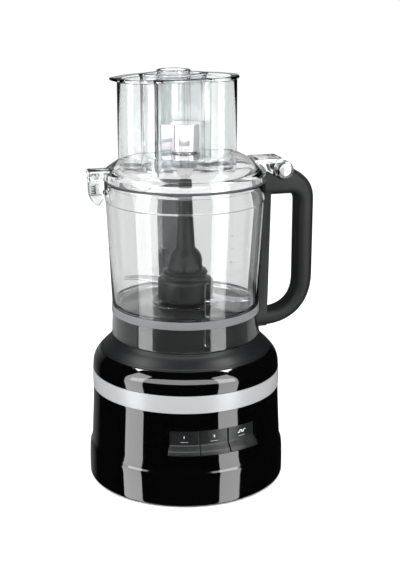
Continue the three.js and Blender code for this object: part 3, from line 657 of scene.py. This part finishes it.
def numeral(text, size):
    """A printed character, flat in X and Y, centred over the origin and 0.05 mm thick."""
    curve = bpy.data.curves.new("numeral", "FONT")
    curve.body = text
    curve.size = size * MM
    curve.extrude = 0.03 * MM
    curve.align_x = "CENTER"
    holder = bpy.data.objects.new("numeral", curve)
    bpy.context.scene.collection.objects.link(holder)
    bm = bmesh.new()
    bm.from_mesh(holder.to_mesh())
    bpy.data.curves.remove(curve)
    bmesh.ops.remove_doubles(bm, verts=bm.verts, dist=1e-7)
    return bm


def stroke(points, width):
    """A printed line through points of (x, y), with square corners, 0.06 mm thick."""
    shapes = []
    for (x0, y0), (x1, y1) in zip(points, points[1:]):
        low = (min(x0, x1) - width / 2, min(y0, y1) - width / 2, -0.03)
        high = (max(x0, x1) + width / 2, max(y0, y1) + width / 2, 0.03)
        shape = block(low, high)
        bmesh.ops.subdivide_edges(shape, edges=[e for e in shape.edges if e.calc_length() > 2 * MM], cuts=4)
        shapes.append(shape)
    return together(*shapes)


class PROCESSOR_OT_inside(bpy.types.Operator):
    """Underside, motor and the other pieces that keep the frame's own shape"""
    bl_idname = "processor.inside"
    bl_label = "Underside and motor"

    def execute(self, context):
        finishes = {
            "satin_black_abs": ["key_frame", "switch_low", "switch_high", "switch_pulse", "bottom_cover"],
            "moulded_rubber": ["power_inlet", "latch_spring", *[f"foot_{i}" for i in range(1, 5)]],
            "zinc_plated_steel": ["motor_can", "motor_plate", "motor_bearing_low", "motor_bearing_high",
                                  "drive_shaft", "latch_pin", "hinge_pin", "adjuster_shaft",
                                  *[f"cover_screw_{i}" for i in range(1, 5)]],
            "stacked_laminations": ["motor_stator", "motor_rotor"],
            "enamelled_copper": ["motor_winding_low", "motor_winding_high"],
            "coated_board": ["circuit_board"],
            "white_acetal": ["cooling_fan"],
        }
        for name, nodes in finishes.items():
            for node_name in nodes:
                dress(node_name, name)
        return {"FINISHED"}


# ---------------------------------------------------------------- bowl and handle

def bowl_radius(z):
    """The bowl's outer radius at a height between its floor and its band."""
    rise = (z - BOWL_FLOOR) / (BOWL_BAND - BOWL_FLOOR)
    return BOWL_LOW_RADIUS + (BOWL_HIGH_RADIUS - BOWL_LOW_RADIUS) * rise


class PROCESSOR_OT_bowl(bpy.types.Operator):
    """Clear bowl with its floor, centre tube, guide ribs and measuring marks"""
    bl_idname = "processor.bowl"
    bl_label = "Bowl"

    def execute(self, context):
        w = settings("bowl").wall
        (_, _, low), (_, _, rim) = span("bowl")
        floor = BOWL_FLOOR
        top = floor + w
        outer = bowl_radius(floor)
        profile = eased([
            (80.8 - w, low, 0.5), (80.8, low, 0.8), (outer, floor, 4), (84.8, 310.3, 0.5), (85.9, 311.8, 0.8),
            (86.2, rim, 0.9), (83.0, rim, 0.7), (82.6, 311, 3), (outer - w + 0.1, top + 3.5, 3),
            (outer - w - 3.6, top, 3), (36.4, top, 0.4), (35.4, top + 1.4, 0.5), (33.4, top + 1.4, 0.5),
            (32.4, top, 0.4), (13.2, top, 1.6), (13, 238, 0.8), (10.8, 238, 0.6), (10.8, floor, 0.5),
            (outer - w, floor, 1)], 4)
        bowl = spun(profile)
        for bearing in RIB_BEARINGS:
            rib = eased([(-2.5, 168, 2.3), (2.5, 168, 2.3), (2.5, 237, 2.45), (-2.5, 237, 2.45)], 6)
            bar = moved(crossways(rib, 2), y=-76.8)
            bowl = carved(bowl, turned_to(bar, bearing + 90), "UNION")
        keeper = span("bowl")[0].x
        bowl = carved(bowl, block((keeper, -5, 320), (-85, 5, 323.4), 0.6, 2), "UNION")
        finish_piece("clear_bowl", bowl, "clear_bowl_copolyester", "bowl", ["bowl"])
        # A light grey ring round the bowl's floor corner: painted highlight, in place of the bright ring that
        # the plinth's edge gives when seen through the bowl.
        band = spun(eased([(80.0, 188), (80.6, 188, 0.2), (80.2, 196.4, 0.2), (79.95, 196.4)]))
        finish_piece("painted_highlight_floor_band", band, "painted_highlight_plastic", "bowl")
        # A thin dark see-through strip over the rear of the bowl's wall, behind the shaft.
        strip = spun([(80.4, 204), (80.8, 204), (84.6, 293), (84.2, 293)], 24, 21.6, 76)
        finish_piece("rear_dark_strip", strip, "dark_strip_film", "bowl")
        self.measuring_marks()
        return {"FINISHED"}

    def measuring_marks(self):
        """Grey ticks printed on the bowl's wall, each with a number of cups."""
        shapes = []
        for step, z in enumerate((214, 228, 242, 256, 270, 284)):
            radius = bowl_radius(z) + 0.03
            for across, text in ((0, None), (-6, str(2 * step + 2))):
                mark = stroke([(-3, 0), (3, 0)], 0.35) if text is None else numeral(text, 4)
                for vert in mark.verts:
                    angle = math.radians(24) + (vert.co.x / MM + across) / radius
                    reach = radius + vert.co.z / MM
                    up = z + vert.co.y / MM
                    vert.co = Vector((reach * math.sin(angle), -reach * math.cos(angle), up)) * MM
                shapes.append(mark)
        finish_piece("measuring_marks", together(*shapes), "grey_print", "bowl")


def wall_space():
    """The space of the bowl's outside with a little clearance, which the handle is shaped against."""
    return spun([(0, 150), (82, 150), (BOWL_LOW_RADIUS + GAP, BOWL_FLOOR), (85.1, 309.6), (86.5, BOWL_BAND),
                 (86.8, 360), (0, 360)])


class PROCESSOR_OT_handle(bpy.types.Operator):
    """Handle in two halves, with its strap down the bowl and the hinge's ear"""
    bl_idname = "processor.handle"
    bl_label = "Handle"

    def execute(self, context):
        (_, front, low), (outer, _, _) = span("handle_front")
        width = -front
        loop = self.loop(outer, low, width)
        strap = crossways([(74, low), (90.4, low), (93.6, 332.2), (74, 332.2)], 12.6)
        rounded(strap, strap.edges[:], 1.2, 2)
        x, _, z = middle("hinge_pin")
        whole = carved(loop, strap, "UNION")
        whole = carved(whole, cross_bar(x, z, 11.1, -30, 30), "DIFFERENCE")
        whole = carved(whole, block((60, -30, 332.2), (x - 8, 30, 350)), "DIFFERENCE")
        ear = crossways([(x - 5.5, 322), (x + 5.5, 322), (x + 5.5, z), (x - 5.5, z)], 6.4)
        whole = carved(whole, ear, "UNION")
        whole = carved(whole, cross_bar(x, z, 6.4, -6.4, 6.4, 0.4), "UNION")
        whole = carved(whole, wall_space(), "DIFFERENCE")
        whole = carved(whole, cross_bar(x, z, HINGE_BORE, -20, 20), "DIFFERENCE")
        for name, side in (("handle_front", -1), ("handle_rear", 1)):
            near, far = sorted((side * 0.15, side * 30))
            half = carved(whole.copy(), block((60, near, 150), (160, far, 360)), "INTERSECT")
            finish_piece(f"{name}_moulding", half, "textured_handle_plastic", "bowl",
                         [name], 40)
        whole.free()
        return {"FINISHED"}

    def loop(self, outer, low, width):
        """Upper arm, grip and lower arm: one outline with its long edges well rounded."""
        inner = outer - 18.5
        outside = [Vector((70, low)), Vector((88, low))]
        outside += bezier((88, low), (116, low), (outer, 180), (outer, 220), 16)[1:]
        outside += bezier((outer, 304), (outer, 321), (134, 331), (118, 338.6), 12)
        outside += [Vector((70, 338.6)), Vector((70, 311))]
        outside += bezier((115, 311), (120.5, 311), (inner, 308), (inner, 301), 8)
        outside += bezier((inner, 214), (inner, 192), (112, 180.4), (88, 180.4), 16)
        outside += [Vector((70, 180.4))]
        loop = crossways(outside, width)
        long_edges = [e for e in loop.edges if abs(abs(e.verts[0].co.y) - width * MM) < 1e-6
                      and abs(e.verts[0].co.y - e.verts[1].co.y) < 1e-6]
        return rounded(loop, long_edges, settings("bowl").grip_ease, 8)


def bezier(a, b, c, d, steps):
    """Points on the cubic curve from a to d."""
    a, b, c, d = (Vector(p) for p in (a, b, c, d))
    times = [i / steps for i in range(steps + 1)]
    return [a * (1 - t) ** 3 + b * 3 * t * (1 - t) ** 2 + c * 3 * t * t * (1 - t) + d * t ** 3 for t in times]


# ---------------------------------------------------------------- lid, chute and pushers

def bearing(start, end):
    return math.degrees(math.atan2(end[1] - start[1], end[0] - start[0]))


def chute_outline(inset, steps=10):
    """The chute from above, brought in by the inset: recess round the knob, corners, lobes and back."""
    recess, lobe = Vector((0, RECESS_Y)), Vector((CHUTE_LOBE_X, CHUTE_LOBE_Y))
    reach, near = RECESS + CHUTE_CORNER, CHUTE_LOBE - CHUTE_CORNER
    apart = lobe - recess
    along = (apart.length_squared + reach ** 2 - near ** 2) / (2 * apart.length)
    aside = math.sqrt(reach ** 2 - along ** 2)
    unit = apart.normalized()
    corner = recess + unit * along + Vector((unit.y, -unit.x)) * aside
    turn = bearing((0, 0), lobe)
    return both_sides(
        arc(*recess, RECESS + inset, 90, bearing(recess, corner), 2 * steps)
        + arc(*corner, CHUTE_CORNER - inset, bearing(corner, recess), bearing(lobe, corner), steps)
        + arc(*lobe, CHUTE_LOBE - inset, bearing(lobe, corner), turn, 3 * steps)
        + arc(0, 0, CHUTE_BACK - inset, turn, 90, 2 * steps))


def flange_outline(steps=24):
    """The large pusher's flange from above: a bowed front that sweeps into the round back."""
    side = Vector((71.2, 44.5))
    bow = bezier((0, -2), (40, -3), (side.x, 8), side, steps)
    return both_sides(bow + arc(0, 0, side.length, bearing((0, 0), side), 90, steps))


def lens_outline(inset, steps=28):
    """The medium pusher from above: two arcs that meet in a point on each side."""
    radius = (LENS_HALF ** 2 + LENS_DEPTH ** 2) / (2 * LENS_DEPTH)
    offset = radius - LENS_DEPTH
    spread = math.degrees(math.acos(offset / (radius - inset)))
    front = arc(0, LENS_Y + offset, radius - inset, -90 - spread, -90 + spread, steps)
    back = arc(0, LENS_Y - offset, radius - inset, 90 - spread, 90 + spread, steps)
    return front[:-1] + back[:-1]


class PROCESSOR_OT_lid(bpy.types.Operator):
    """Clear lid with its feed chute, hinge arm, knuckles and latch ears, and the seal under its rim"""
    bl_idname = "processor.lid"
    bl_label = "Lid and chute"

    def execute(self, context):
        wall = settings("lid").chute_wall
        seal_low, seal_high = span("lid_gasket")
        rim = seal_high.z + GAP
        lid_top = span("lid")[1].z
        dome = spun(eased([
            (78.6, 325.5, 0.6), (80.6, 325.5, 0.6), (80.6, rim), (86.2, rim, 0.5), (86.4, 340.4, 1.8),
            (85, 342.5, 1.2), (82, 344.6, 2.5), (73, 350.8, 4), (62.4, 356.6, 4), (52.6, 360.5, 4),
            (46, 361.2, 4), (0, 361.2), (0, 358.8), (46, 358.8, 4), (51.6, 358, 4), (61.2, 354.3, 4),
            (71.4, 348.8, 3), (76.6, 344.4, 2), (78.6, 341.5, 1)]))
        chute = raised(chute_outline(0), 326, lid_top)
        rounded(chute, flat_rims(chute, 326, lid_top), 0.8, 2)
        lid = carved(dome, chute, "UNION")
        throat = raised(chute_outline(wall), 320, lid_top + PAST)
        lid = carved(lid, throat, "DIFFERENCE")
        lid = carved(lid, rod(13.5, 330, 370), "DIFFERENCE")
        lid = self.hinge_side(lid)
        lid = self.latch_side(lid)
        finish_piece("clear_lid", lid, "clear_lid_copolyester", "lid", ["lid"])
        out, low, high = seal_high.x, seal_low.z, seal_high.z
        seal = spun(eased([(81.4, low), (out, low, 0.4), (out, high, 0.4), (81.4, high)]))
        finish_piece("silicone_seal", seal, "silicone_seal", "lid", ["lid_gasket"])
        return {"FINISHED"}

    def hinge_side(self, lid):
        x, _, z = middle("hinge_pin")
        lid = carved(lid, block((73.5, -15, 346), (x - 1.5, 15, 351.5), 1.2), "UNION")
        for low, high in ((-19, -7), (7, 19)):
            lid = carved(lid, cross_bar(x, z, 9.5, low, high, 0.8), "UNION")
        for low, high in ((-20, -16.8), (16.8, 20)):
            lid = carved(lid, cross_bar(x, z, 6.7, low, high), "DIFFERENCE")
        lid = carved(lid, cross_bar(x, z, 7, -7, 7), "DIFFERENCE")
        return carved(lid, cross_bar(x, z, HINGE_BORE, -20, 20), "DIFFERENCE")

    def latch_side(self, lid):
        left = span("lid")[0].x
        for low, high in ((-10, -6.8), (6.8, 10)):
            lid = carved(lid, block((left, low, 335.6), (-80, high, 345.5), 0.7), "UNION")
        lid = carved(lid, block((left, -10, 344), (-80, 10, 346.4), 0.8), "UNION")
        return carved(lid, cross_bar(LATCH_X, LATCH_Z, LATCH_BORE, -12, 12), "DIFFERENCE")


class PROCESSOR_OT_hinge_and_latch(bpy.types.Operator):
    """Chrome pin caps and the tinted latch"""
    bl_idname = "processor.hinge_and_latch"
    bl_label = "Hinge caps and latch"

    def execute(self, context):
        for name in ("pin_cap_front", "pin_cap_rear"):
            low, high = span(name)
            x, _, z = middle(name)
            cap = cross_bar(x, z, (high.x - low.x) / 2, low.y, high.y, 0.5)
            finish_piece(f"{name}_disc", cap, "chrome_plate", "lid", [name])
        outline = eased([(-99.5, 343, 1), (-101.2, 342.2, 0.8), (-104.2, 339.2, 1.2), (-104.4, 322, 4),
                         (-101.5, 313.5, 4), (-96.8, 308.8, 2), (-93.4, 309, 1.5), (-89.6, 315.4, 1.5),
                         (-89.6, 318.6, 0.8), (-93.4, 321, 1.5), (-93.4, 343, 1)])
        latch = crossways(outline, 6.2)
        rounded(latch, [e for e in latch.edges if abs(e.verts[0].co.y - e.verts[1].co.y) < 1e-7], 0.8, 2)
        latch = carved(latch, cross_bar(LATCH_X, LATCH_Z, LATCH_BORE, -12, 12), "DIFFERENCE")
        latch = carved(latch, block((-102, -3.2, 319.4), (-92, 3.2, 331.6), 0.6, 2), "DIFFERENCE")
        finish_piece("latch_moulding", latch, "tinted_latch_plastic", "latch",
                     ["lid_latch"])
        return {"FINISHED"}


class PROCESSOR_OT_pushers(bpy.types.Operator):
    """Large, medium and small pushers, each nested in the one before"""
    bl_idname = "processor.pushers"
    bl_label = "Pushers"

    def execute(self, context):
        clear = "clear_pusher_copolyester"
        wall = settings("lid").pusher_wall
        self.large(clear, wall)
        self.medium(clear, wall)
        (_, _, low), (_, _, top) = span("pusher_small")
        small = spun(eased([
            (0, low), (TUBE, low, 1.6), (TUBE, 439.2, 0.4), (18.4, 439.2, 0.7), (18.4, top, 1),
            (TUBE - wall, top, 0.8), (TUBE - wall, low + wall, 1.4), (0, low + wall)]), FINE)
        finish_piece("small_pusher", moved(small, y=TUBE_Y), clear, "pusher_small",
                     ["pusher_small"])
        return {"FINISHED"}

    def large(self, clear, wall):
        inset = settings("lid").chute_wall + SLIDE
        (_, _, low), (_, _, top) = span("pusher_large")
        body = raised(chute_outline(inset), low, top - 0.5)
        rounded(body, flat_rims(body, low), 1, 2)
        flange = raised(flange_outline(), top - 3, top)
        rounded(flange, flat_rims(flange, top - 3, top), 1.3, 4)
        whole = carved(body, flange, "UNION")
        hollow = raised(chute_outline(inset + wall), low + wall, top + PAST)
        whole = carved(whole, hollow, "DIFFERENCE")
        sleeve = raised(lens_outline(-wall), low, top)
        rounded(sleeve, flat_rims(sleeve, top), 0.6, 2)
        whole = carved(whole, sleeve, "UNION")
        whole = carved(whole, raised(lens_outline(0), low - PAST, top + PAST), "DIFFERENCE")
        finish_piece("large_pusher", whole, clear, "pusher_large", ["pusher_large"])

    def medium(self, clear, wall):
        (_, _, low), (_, _, top) = span("pusher_medium")
        flange_top = span("pusher_large")[1].z
        body = raised(lens_outline(SLIDE), low, top - 0.4)
        lip = raised(lens_outline(-3.4), flange_top + GAP, top)
        rounded(lip, flat_rims(lip, flange_top + GAP, top), 0.7, 3)
        whole = carved(body, lip, "UNION")
        whole = carved(whole, raised(lens_outline(SLIDE + wall), low + wall, top + PAST), "DIFFERENCE")
        bore = TUBE + SLIDE
        outer = bore + wall - 0.6
        sleeve = moved(spun(eased([(0, low), (outer, low), (outer, top, 0.5), (0, top)]), FINE), y=TUBE_Y)
        whole = carved(whole, sleeve, "UNION")
        passage = moved(rod(bore, low - PAST, top + PAST), y=TUBE_Y)
        whole = carved(whole, passage, "DIFFERENCE")
        finish_piece("medium_pusher", whole, clear, "pusher_medium", ["pusher_medium"])


# ---------------------------------------------------------------- adjuster and cutter

class PROCESSOR_OT_adjuster(bpy.types.Operator):
    """Chrome slicing knob with its lever, the clear collar with printed windows and the drive cup"""
    bl_idname = "processor.adjuster"
    bl_label = "Slicing adjuster"

    def execute(self, context):
        (left, _, low), (right, _, high) = span("adjuster_knob")
        body = spun(eased([(0, low), (right, low, 0.5), (right, high, 1), (0, high)]), FINE)
        tab = block((left, -4, low + 0.4), (-6, 5, high - 0.4), 0.9)
        knob = carved(body, tab, "UNION")
        knob = carved(knob, rod(4.6, low - PAST, 387, steps=48), "DIFFERENCE")
        finish_piece("slicing_knob", knob, "chrome_plate", "adjuster", ["adjuster_knob"])
        (_, _, low), (out, _, high) = span("adjuster_collar")
        collar = spun(eased([(10.2, low, 0.4), (12.4, low, 0.4), (out, low + 1, 0.4), (out, high, 0.3),
                             (10.2, high, 0.3)]), FINE)
        finish_piece("adjuster_collar_ring", collar, "tinted_collar_plastic", "lid",
                     ["adjuster_collar"])
        for i, (start, end, base, up) in enumerate((
                (-33, 1, 357.6, 360.6), (-33, 1, 355.2, 356.2), (52, 66, 356, 360))):
            tile = spun([(out + 0.05, base), (out + 0.12, base), (out + 0.12, up), (out + 0.05, up)], 16,
                        end - start, start - 90)
            finish_piece(f"thickness_mark_{i + 1}", tile, "dark_print", "lid")
        self.cup()
        return {"FINISHED"}

    def cup(self):
        (_, _, low), (out, _, high) = span("disc_drive_cup")
        cup = spun(eased([(0, 334.6), (6.4, 334.6, 1), (8.6, 338, 1), (out, high, 0.7), (0, high)]), FINE)
        cup = carved(cup, spun(eased([(0, low + 2), (3, low + 2, 0.3), (3, 336), (0, 336)]), 48), "UNION")
        for i in range(6):
            tooth = block((2, -1, low), (5.4, 1, 335.2), 0.3, 2)
            cup = carved(cup, turned_to(tooth, 60 * i), "UNION")
        finish_piece("drive_cup", cup, "white_acetal", "adjuster_drive",
                     ["disc_drive_cup"])


class PROCESSOR_OT_cutter(bpy.types.Operator):
    """Dark hub with its bell and collar, and the two curved blades"""
    bl_idname = "processor.cutter"
    bl_label = "Cutter"

    def execute(self, context):
        (_, _, low), (out, _, tip) = span("blade_hub")
        hub = spun(eased([
            (15.5, low), (out, low, 1), (out, 221, 1.6), (28.4, 223.4, 1.4), (24.6, 224.4, 0.8),
            (23.4, 226.4, 0.8), (23.4, 228.8, 0.6), (24.4, 230, 0.7), (24, 231.6, 0.8), (20, 233, 1),
            (19.2, 237, 2), (18.4, 244, 3), (16.6, 250.6, 2.5), (13.4, 254.8, 1.6), (10.6, 257.4, 1.2),
            (9.2, 280, 8), (7.6, 309, 4), (7.2, 317, 1), (6.6, 320, 0.8), (5, tip, 0.6),
            (0, tip), (0, 257.5), (8.3, 257.5), (8.3, 240.5), (15.5, 240.5)], 4))
        for i in range(6):
            arch = moved(cross_bar(0, 0, 7.6, -30, -17.7), z=235)
            arch = carved(arch, block((-20, -40, 233.3), (20, 0, 260)), "INTERSECT")
            hub = carved(hub, turned_to(arch, 60 * i + 12), "DIFFERENCE")
        for name in ("blade_lower", "blade_upper"):
            hub = carved(hub, blade(name, GAP), "DIFFERENCE")
            steel = blade(name, 0)
            edges = [e for e in steel.edges if abs(e.verts[0].co.z - e.verts[1].co.z) < 1e-7]
            rounded(steel, edges, 0.5, 2)
            finish_piece(f"{name}_steel", steel, "ground_stainless_steel", "cutter",
                         [name])
        finish_piece("cutter_hub", hub, "glass_filled_nylon", "cutter", ["blade_hub"])
        return {"FINISHED"}


def blade(name, grow):
    """One blade: a curved cutting edge and a hollow back, its root inside the hub."""
    (_, _, low), (_, _, high) = span(name)
    outline = [Vector((21 - grow, -10 - grow))]
    outline += bezier((21 - grow, -10 - grow), (40, -15 - grow), (62, -14 - grow), (73 + grow, 3), 24)[1:]
    outline += bezier((70, 11 + grow), (58, 2 + grow), (42, 5 + grow), (21 - grow, 10 + grow), 24)
    steel = raised(outline, low - grow, high + grow)
    return turned_to(steel, -38 if name == "blade_lower" else 142)


# ---------------------------------------------------------------- studio

class PROCESSOR_OT_studio(bpy.types.Operator):
    """Pale floor, soft lights and the camera"""
    bl_idname = "processor.studio"
    bl_label = "Studio"

    def execute(self, context):
        self.camera()
        self.floor()
        self.world()
        for name, azimuth, distance, low, high, width, glow in (
                ("left_strip", -78, 1200, -1300, 1400, 520, 3.6),
                ("right_strip", 35.5, 1200, -1300, 1400, 530, 3.4),
                ("top_bar", -19, 560, 270, 640, 2300, 3.0)):
            angle = math.radians(azimuth)
            place = Vector((distance * math.sin(angle), -distance * math.cos(angle), (low + high) / 2))
            self.light(name, place, Vector((0, 0, place.z)), width, high - low, glow)
        deck_front = Vector((0, -90, 155))
        for name, way in (("left_overhead", (-0.56, 0.21, 0.8)), ("right_overhead", (0.5, -0.17, 0.85))):
            self.light(name, deck_front + 1000 * Vector(way), deck_front, 260, 260, 16.0)
        scene = context.scene
        scene.view_settings.view_transform = "Standard"
        scene.cycles.max_bounces = scene.cycles.transmission_bounces = 40
        return {"FINISHED"}

    def camera(self):
        s = settings("studio")
        data = bpy.data.cameras.new("studio_camera")
        data.lens = s.lens
        data.sensor_width = 36
        camera = bpy.data.objects.new("studio_camera", data)
        round_angle = math.radians(s.around)
        camera.location = (AXIS_X - s.distance * MM * math.sin(round_angle),
                           -s.distance * MM * math.cos(round_angle), s.height * MM)
        camera.rotation_euler = (math.radians(90 - s.tilt), 0, -round_angle - math.radians(s.turn))
        bpy.context.scene.collection.objects.link(camera)
        bpy.context.scene.camera = camera

    def floor(self):
        bm = bmesh.new()
        bmesh.ops.create_grid(bm, x_segments=8, y_segments=8, size=6)
        mesh = bpy.data.meshes.new("studio_floor")
        bm.to_mesh(mesh)
        bm.free()
        tree, bsdf = surface("pale_paper_floor", settings("studio").floor, 0.9)
        grain(tree, bsdf, 3, 0.1, 0.05)
        mesh.materials.append(MATERIALS["pale_paper_floor"])
        floor = bpy.data.objects.new("studio_floor", mesh)
        floor.location.z = -0.0002
        floor.visible_glossy = floor.visible_transmission = False
        bpy.context.scene.collection.objects.link(floor)

    def world(self):
        """White behind and all round, but black cloth in front to reflections, straight or inside glass."""
        world = bpy.data.worlds.new("studio_world")
        world.use_nodes = True
        tree = world.node_tree
        tree.nodes.clear()
        path = node(tree, "ShaderNodeLightPath")
        gloss = node(tree, "ShaderNodeMath", {"operation": "MULTIPLY"}, X0=path.outputs["Is Glossy Ray"],
                     X1=path.outputs["Is Reflection Ray"])
        way = node(tree, "ShaderNodeTexCoord")
        parts = node(tree, "ShaderNodeSeparateXYZ", Vector=way.outputs["Generated"])
        front = node(tree, "ShaderNodeMath", {"operation": "LESS_THAN"}, X0=parts.outputs["Y"], X1=0.1)
        inner = node(tree, "ShaderNodeMath", {"operation": "MULTIPLY"}, X0=path.outputs["Is Transmission Ray"],
                     X1=front.outputs["Value"])
        hidden = node(tree, "ShaderNodeMath", {"operation": "MAXIMUM"}, X0=gloss.outputs["Value"],
                      X1=inner.outputs["Value"])
        cloth = node(tree, "ShaderNodeMapRange", Value=parts.outputs["Y"], X1=0.78, X2=1.0, X3=0.004, X4=0.2)
        dim = node(tree, "ShaderNodeMath", {"operation": "MULTIPLY_ADD"}, X0=inner.outputs["Value"], X1=0.4,
                   X2=cloth.outputs["Result"])
        white = node(tree, "ShaderNodeBackground", Color=(1, 1, 1, 1), Strength=1.08)
        dark = node(tree, "ShaderNodeBackground", Color=(1, 1, 1, 1), Strength=dim.outputs["Value"])
        mix = node(tree, "ShaderNodeMixShader", X0=hidden.outputs["Value"],
                   X1=white.outputs["Background"], X2=dark.outputs["Background"])
        node(tree, "ShaderNodeOutputWorld", Surface=mix.outputs["Shader"])
        bpy.context.scene.world = world

    def light(self, name, place, target, width, height, glow):
        """A soft light at a place in millimetres, facing its target, with its own brightness."""
        data = bpy.data.lights.new(name, "AREA")
        data.shape = "RECTANGLE"
        data.size, data.size_y = width * MM, height * MM
        data.energy = glow * math.pi * data.size * data.size_y
        lamp = bpy.data.objects.new(name, data)
        lamp.location = place * MM + Vector((AXIS_X, 0, 0))
        lamp.rotation_euler = (place - target).to_track_quat("Z", "Y").to_euler()
        lamp.visible_camera = False
        bpy.context.scene.collection.objects.link(lamp)


# ---------------------------------------------------------------- add-on

class PROCESSOR_PT_panel(bpy.types.Panel):
    """Settings and steps of the food processor"""
    bl_idname = "PROCESSOR_PT_panel"
    bl_label = "Food Processor"
    bl_space_type = "VIEW_3D"
    bl_region_type = "UI"
    bl_category = "Processor"

    def draw(self, context):
        for name, group in GROUPS.items():
            box = self.layout.box()
            for key in group.__annotations__:
                box.prop(settings(name), key)
        for step in STEPS:
            self.layout.operator(step.bl_idname)


GROUPS = {"base": BaseSettings, "bowl": BowlSettings, "lid": LidSettings, "cutter": CutterSettings,
          "studio": StudioSettings}
STEPS = (PROCESSOR_OT_materials, PROCESSOR_OT_studio, PROCESSOR_OT_base, PROCESSOR_OT_keys,
         PROCESSOR_OT_inside, PROCESSOR_OT_bowl, PROCESSOR_OT_handle, PROCESSOR_OT_lid,
         PROCESSOR_OT_hinge_and_latch, PROCESSOR_OT_pushers, PROCESSOR_OT_adjuster, PROCESSOR_OT_cutter)


def register():
    for group in GROUPS.values():
        bpy.utils.register_class(group)
    for name, group in GROUPS.items():
        setattr(bpy.types.Scene, f"processor_{name}", PointerProperty(type=group))
    for step in STEPS:
        bpy.utils.register_class(step)
    bpy.utils.register_class(PROCESSOR_PT_panel)


def unregister():
    bpy.utils.unregister_class(PROCESSOR_PT_panel)
    for step in reversed(STEPS):
        bpy.utils.unregister_class(step)
    for name, group in GROUPS.items():
        delattr(bpy.types.Scene, f"processor_{name}")
        bpy.utils.unregister_class(group)


def main():
    register()
    for step in STEPS:
        group, name = step.bl_idname.split(".")
        getattr(getattr(bpy.ops, group), name)()


if __name__ == "__main__":
    main()
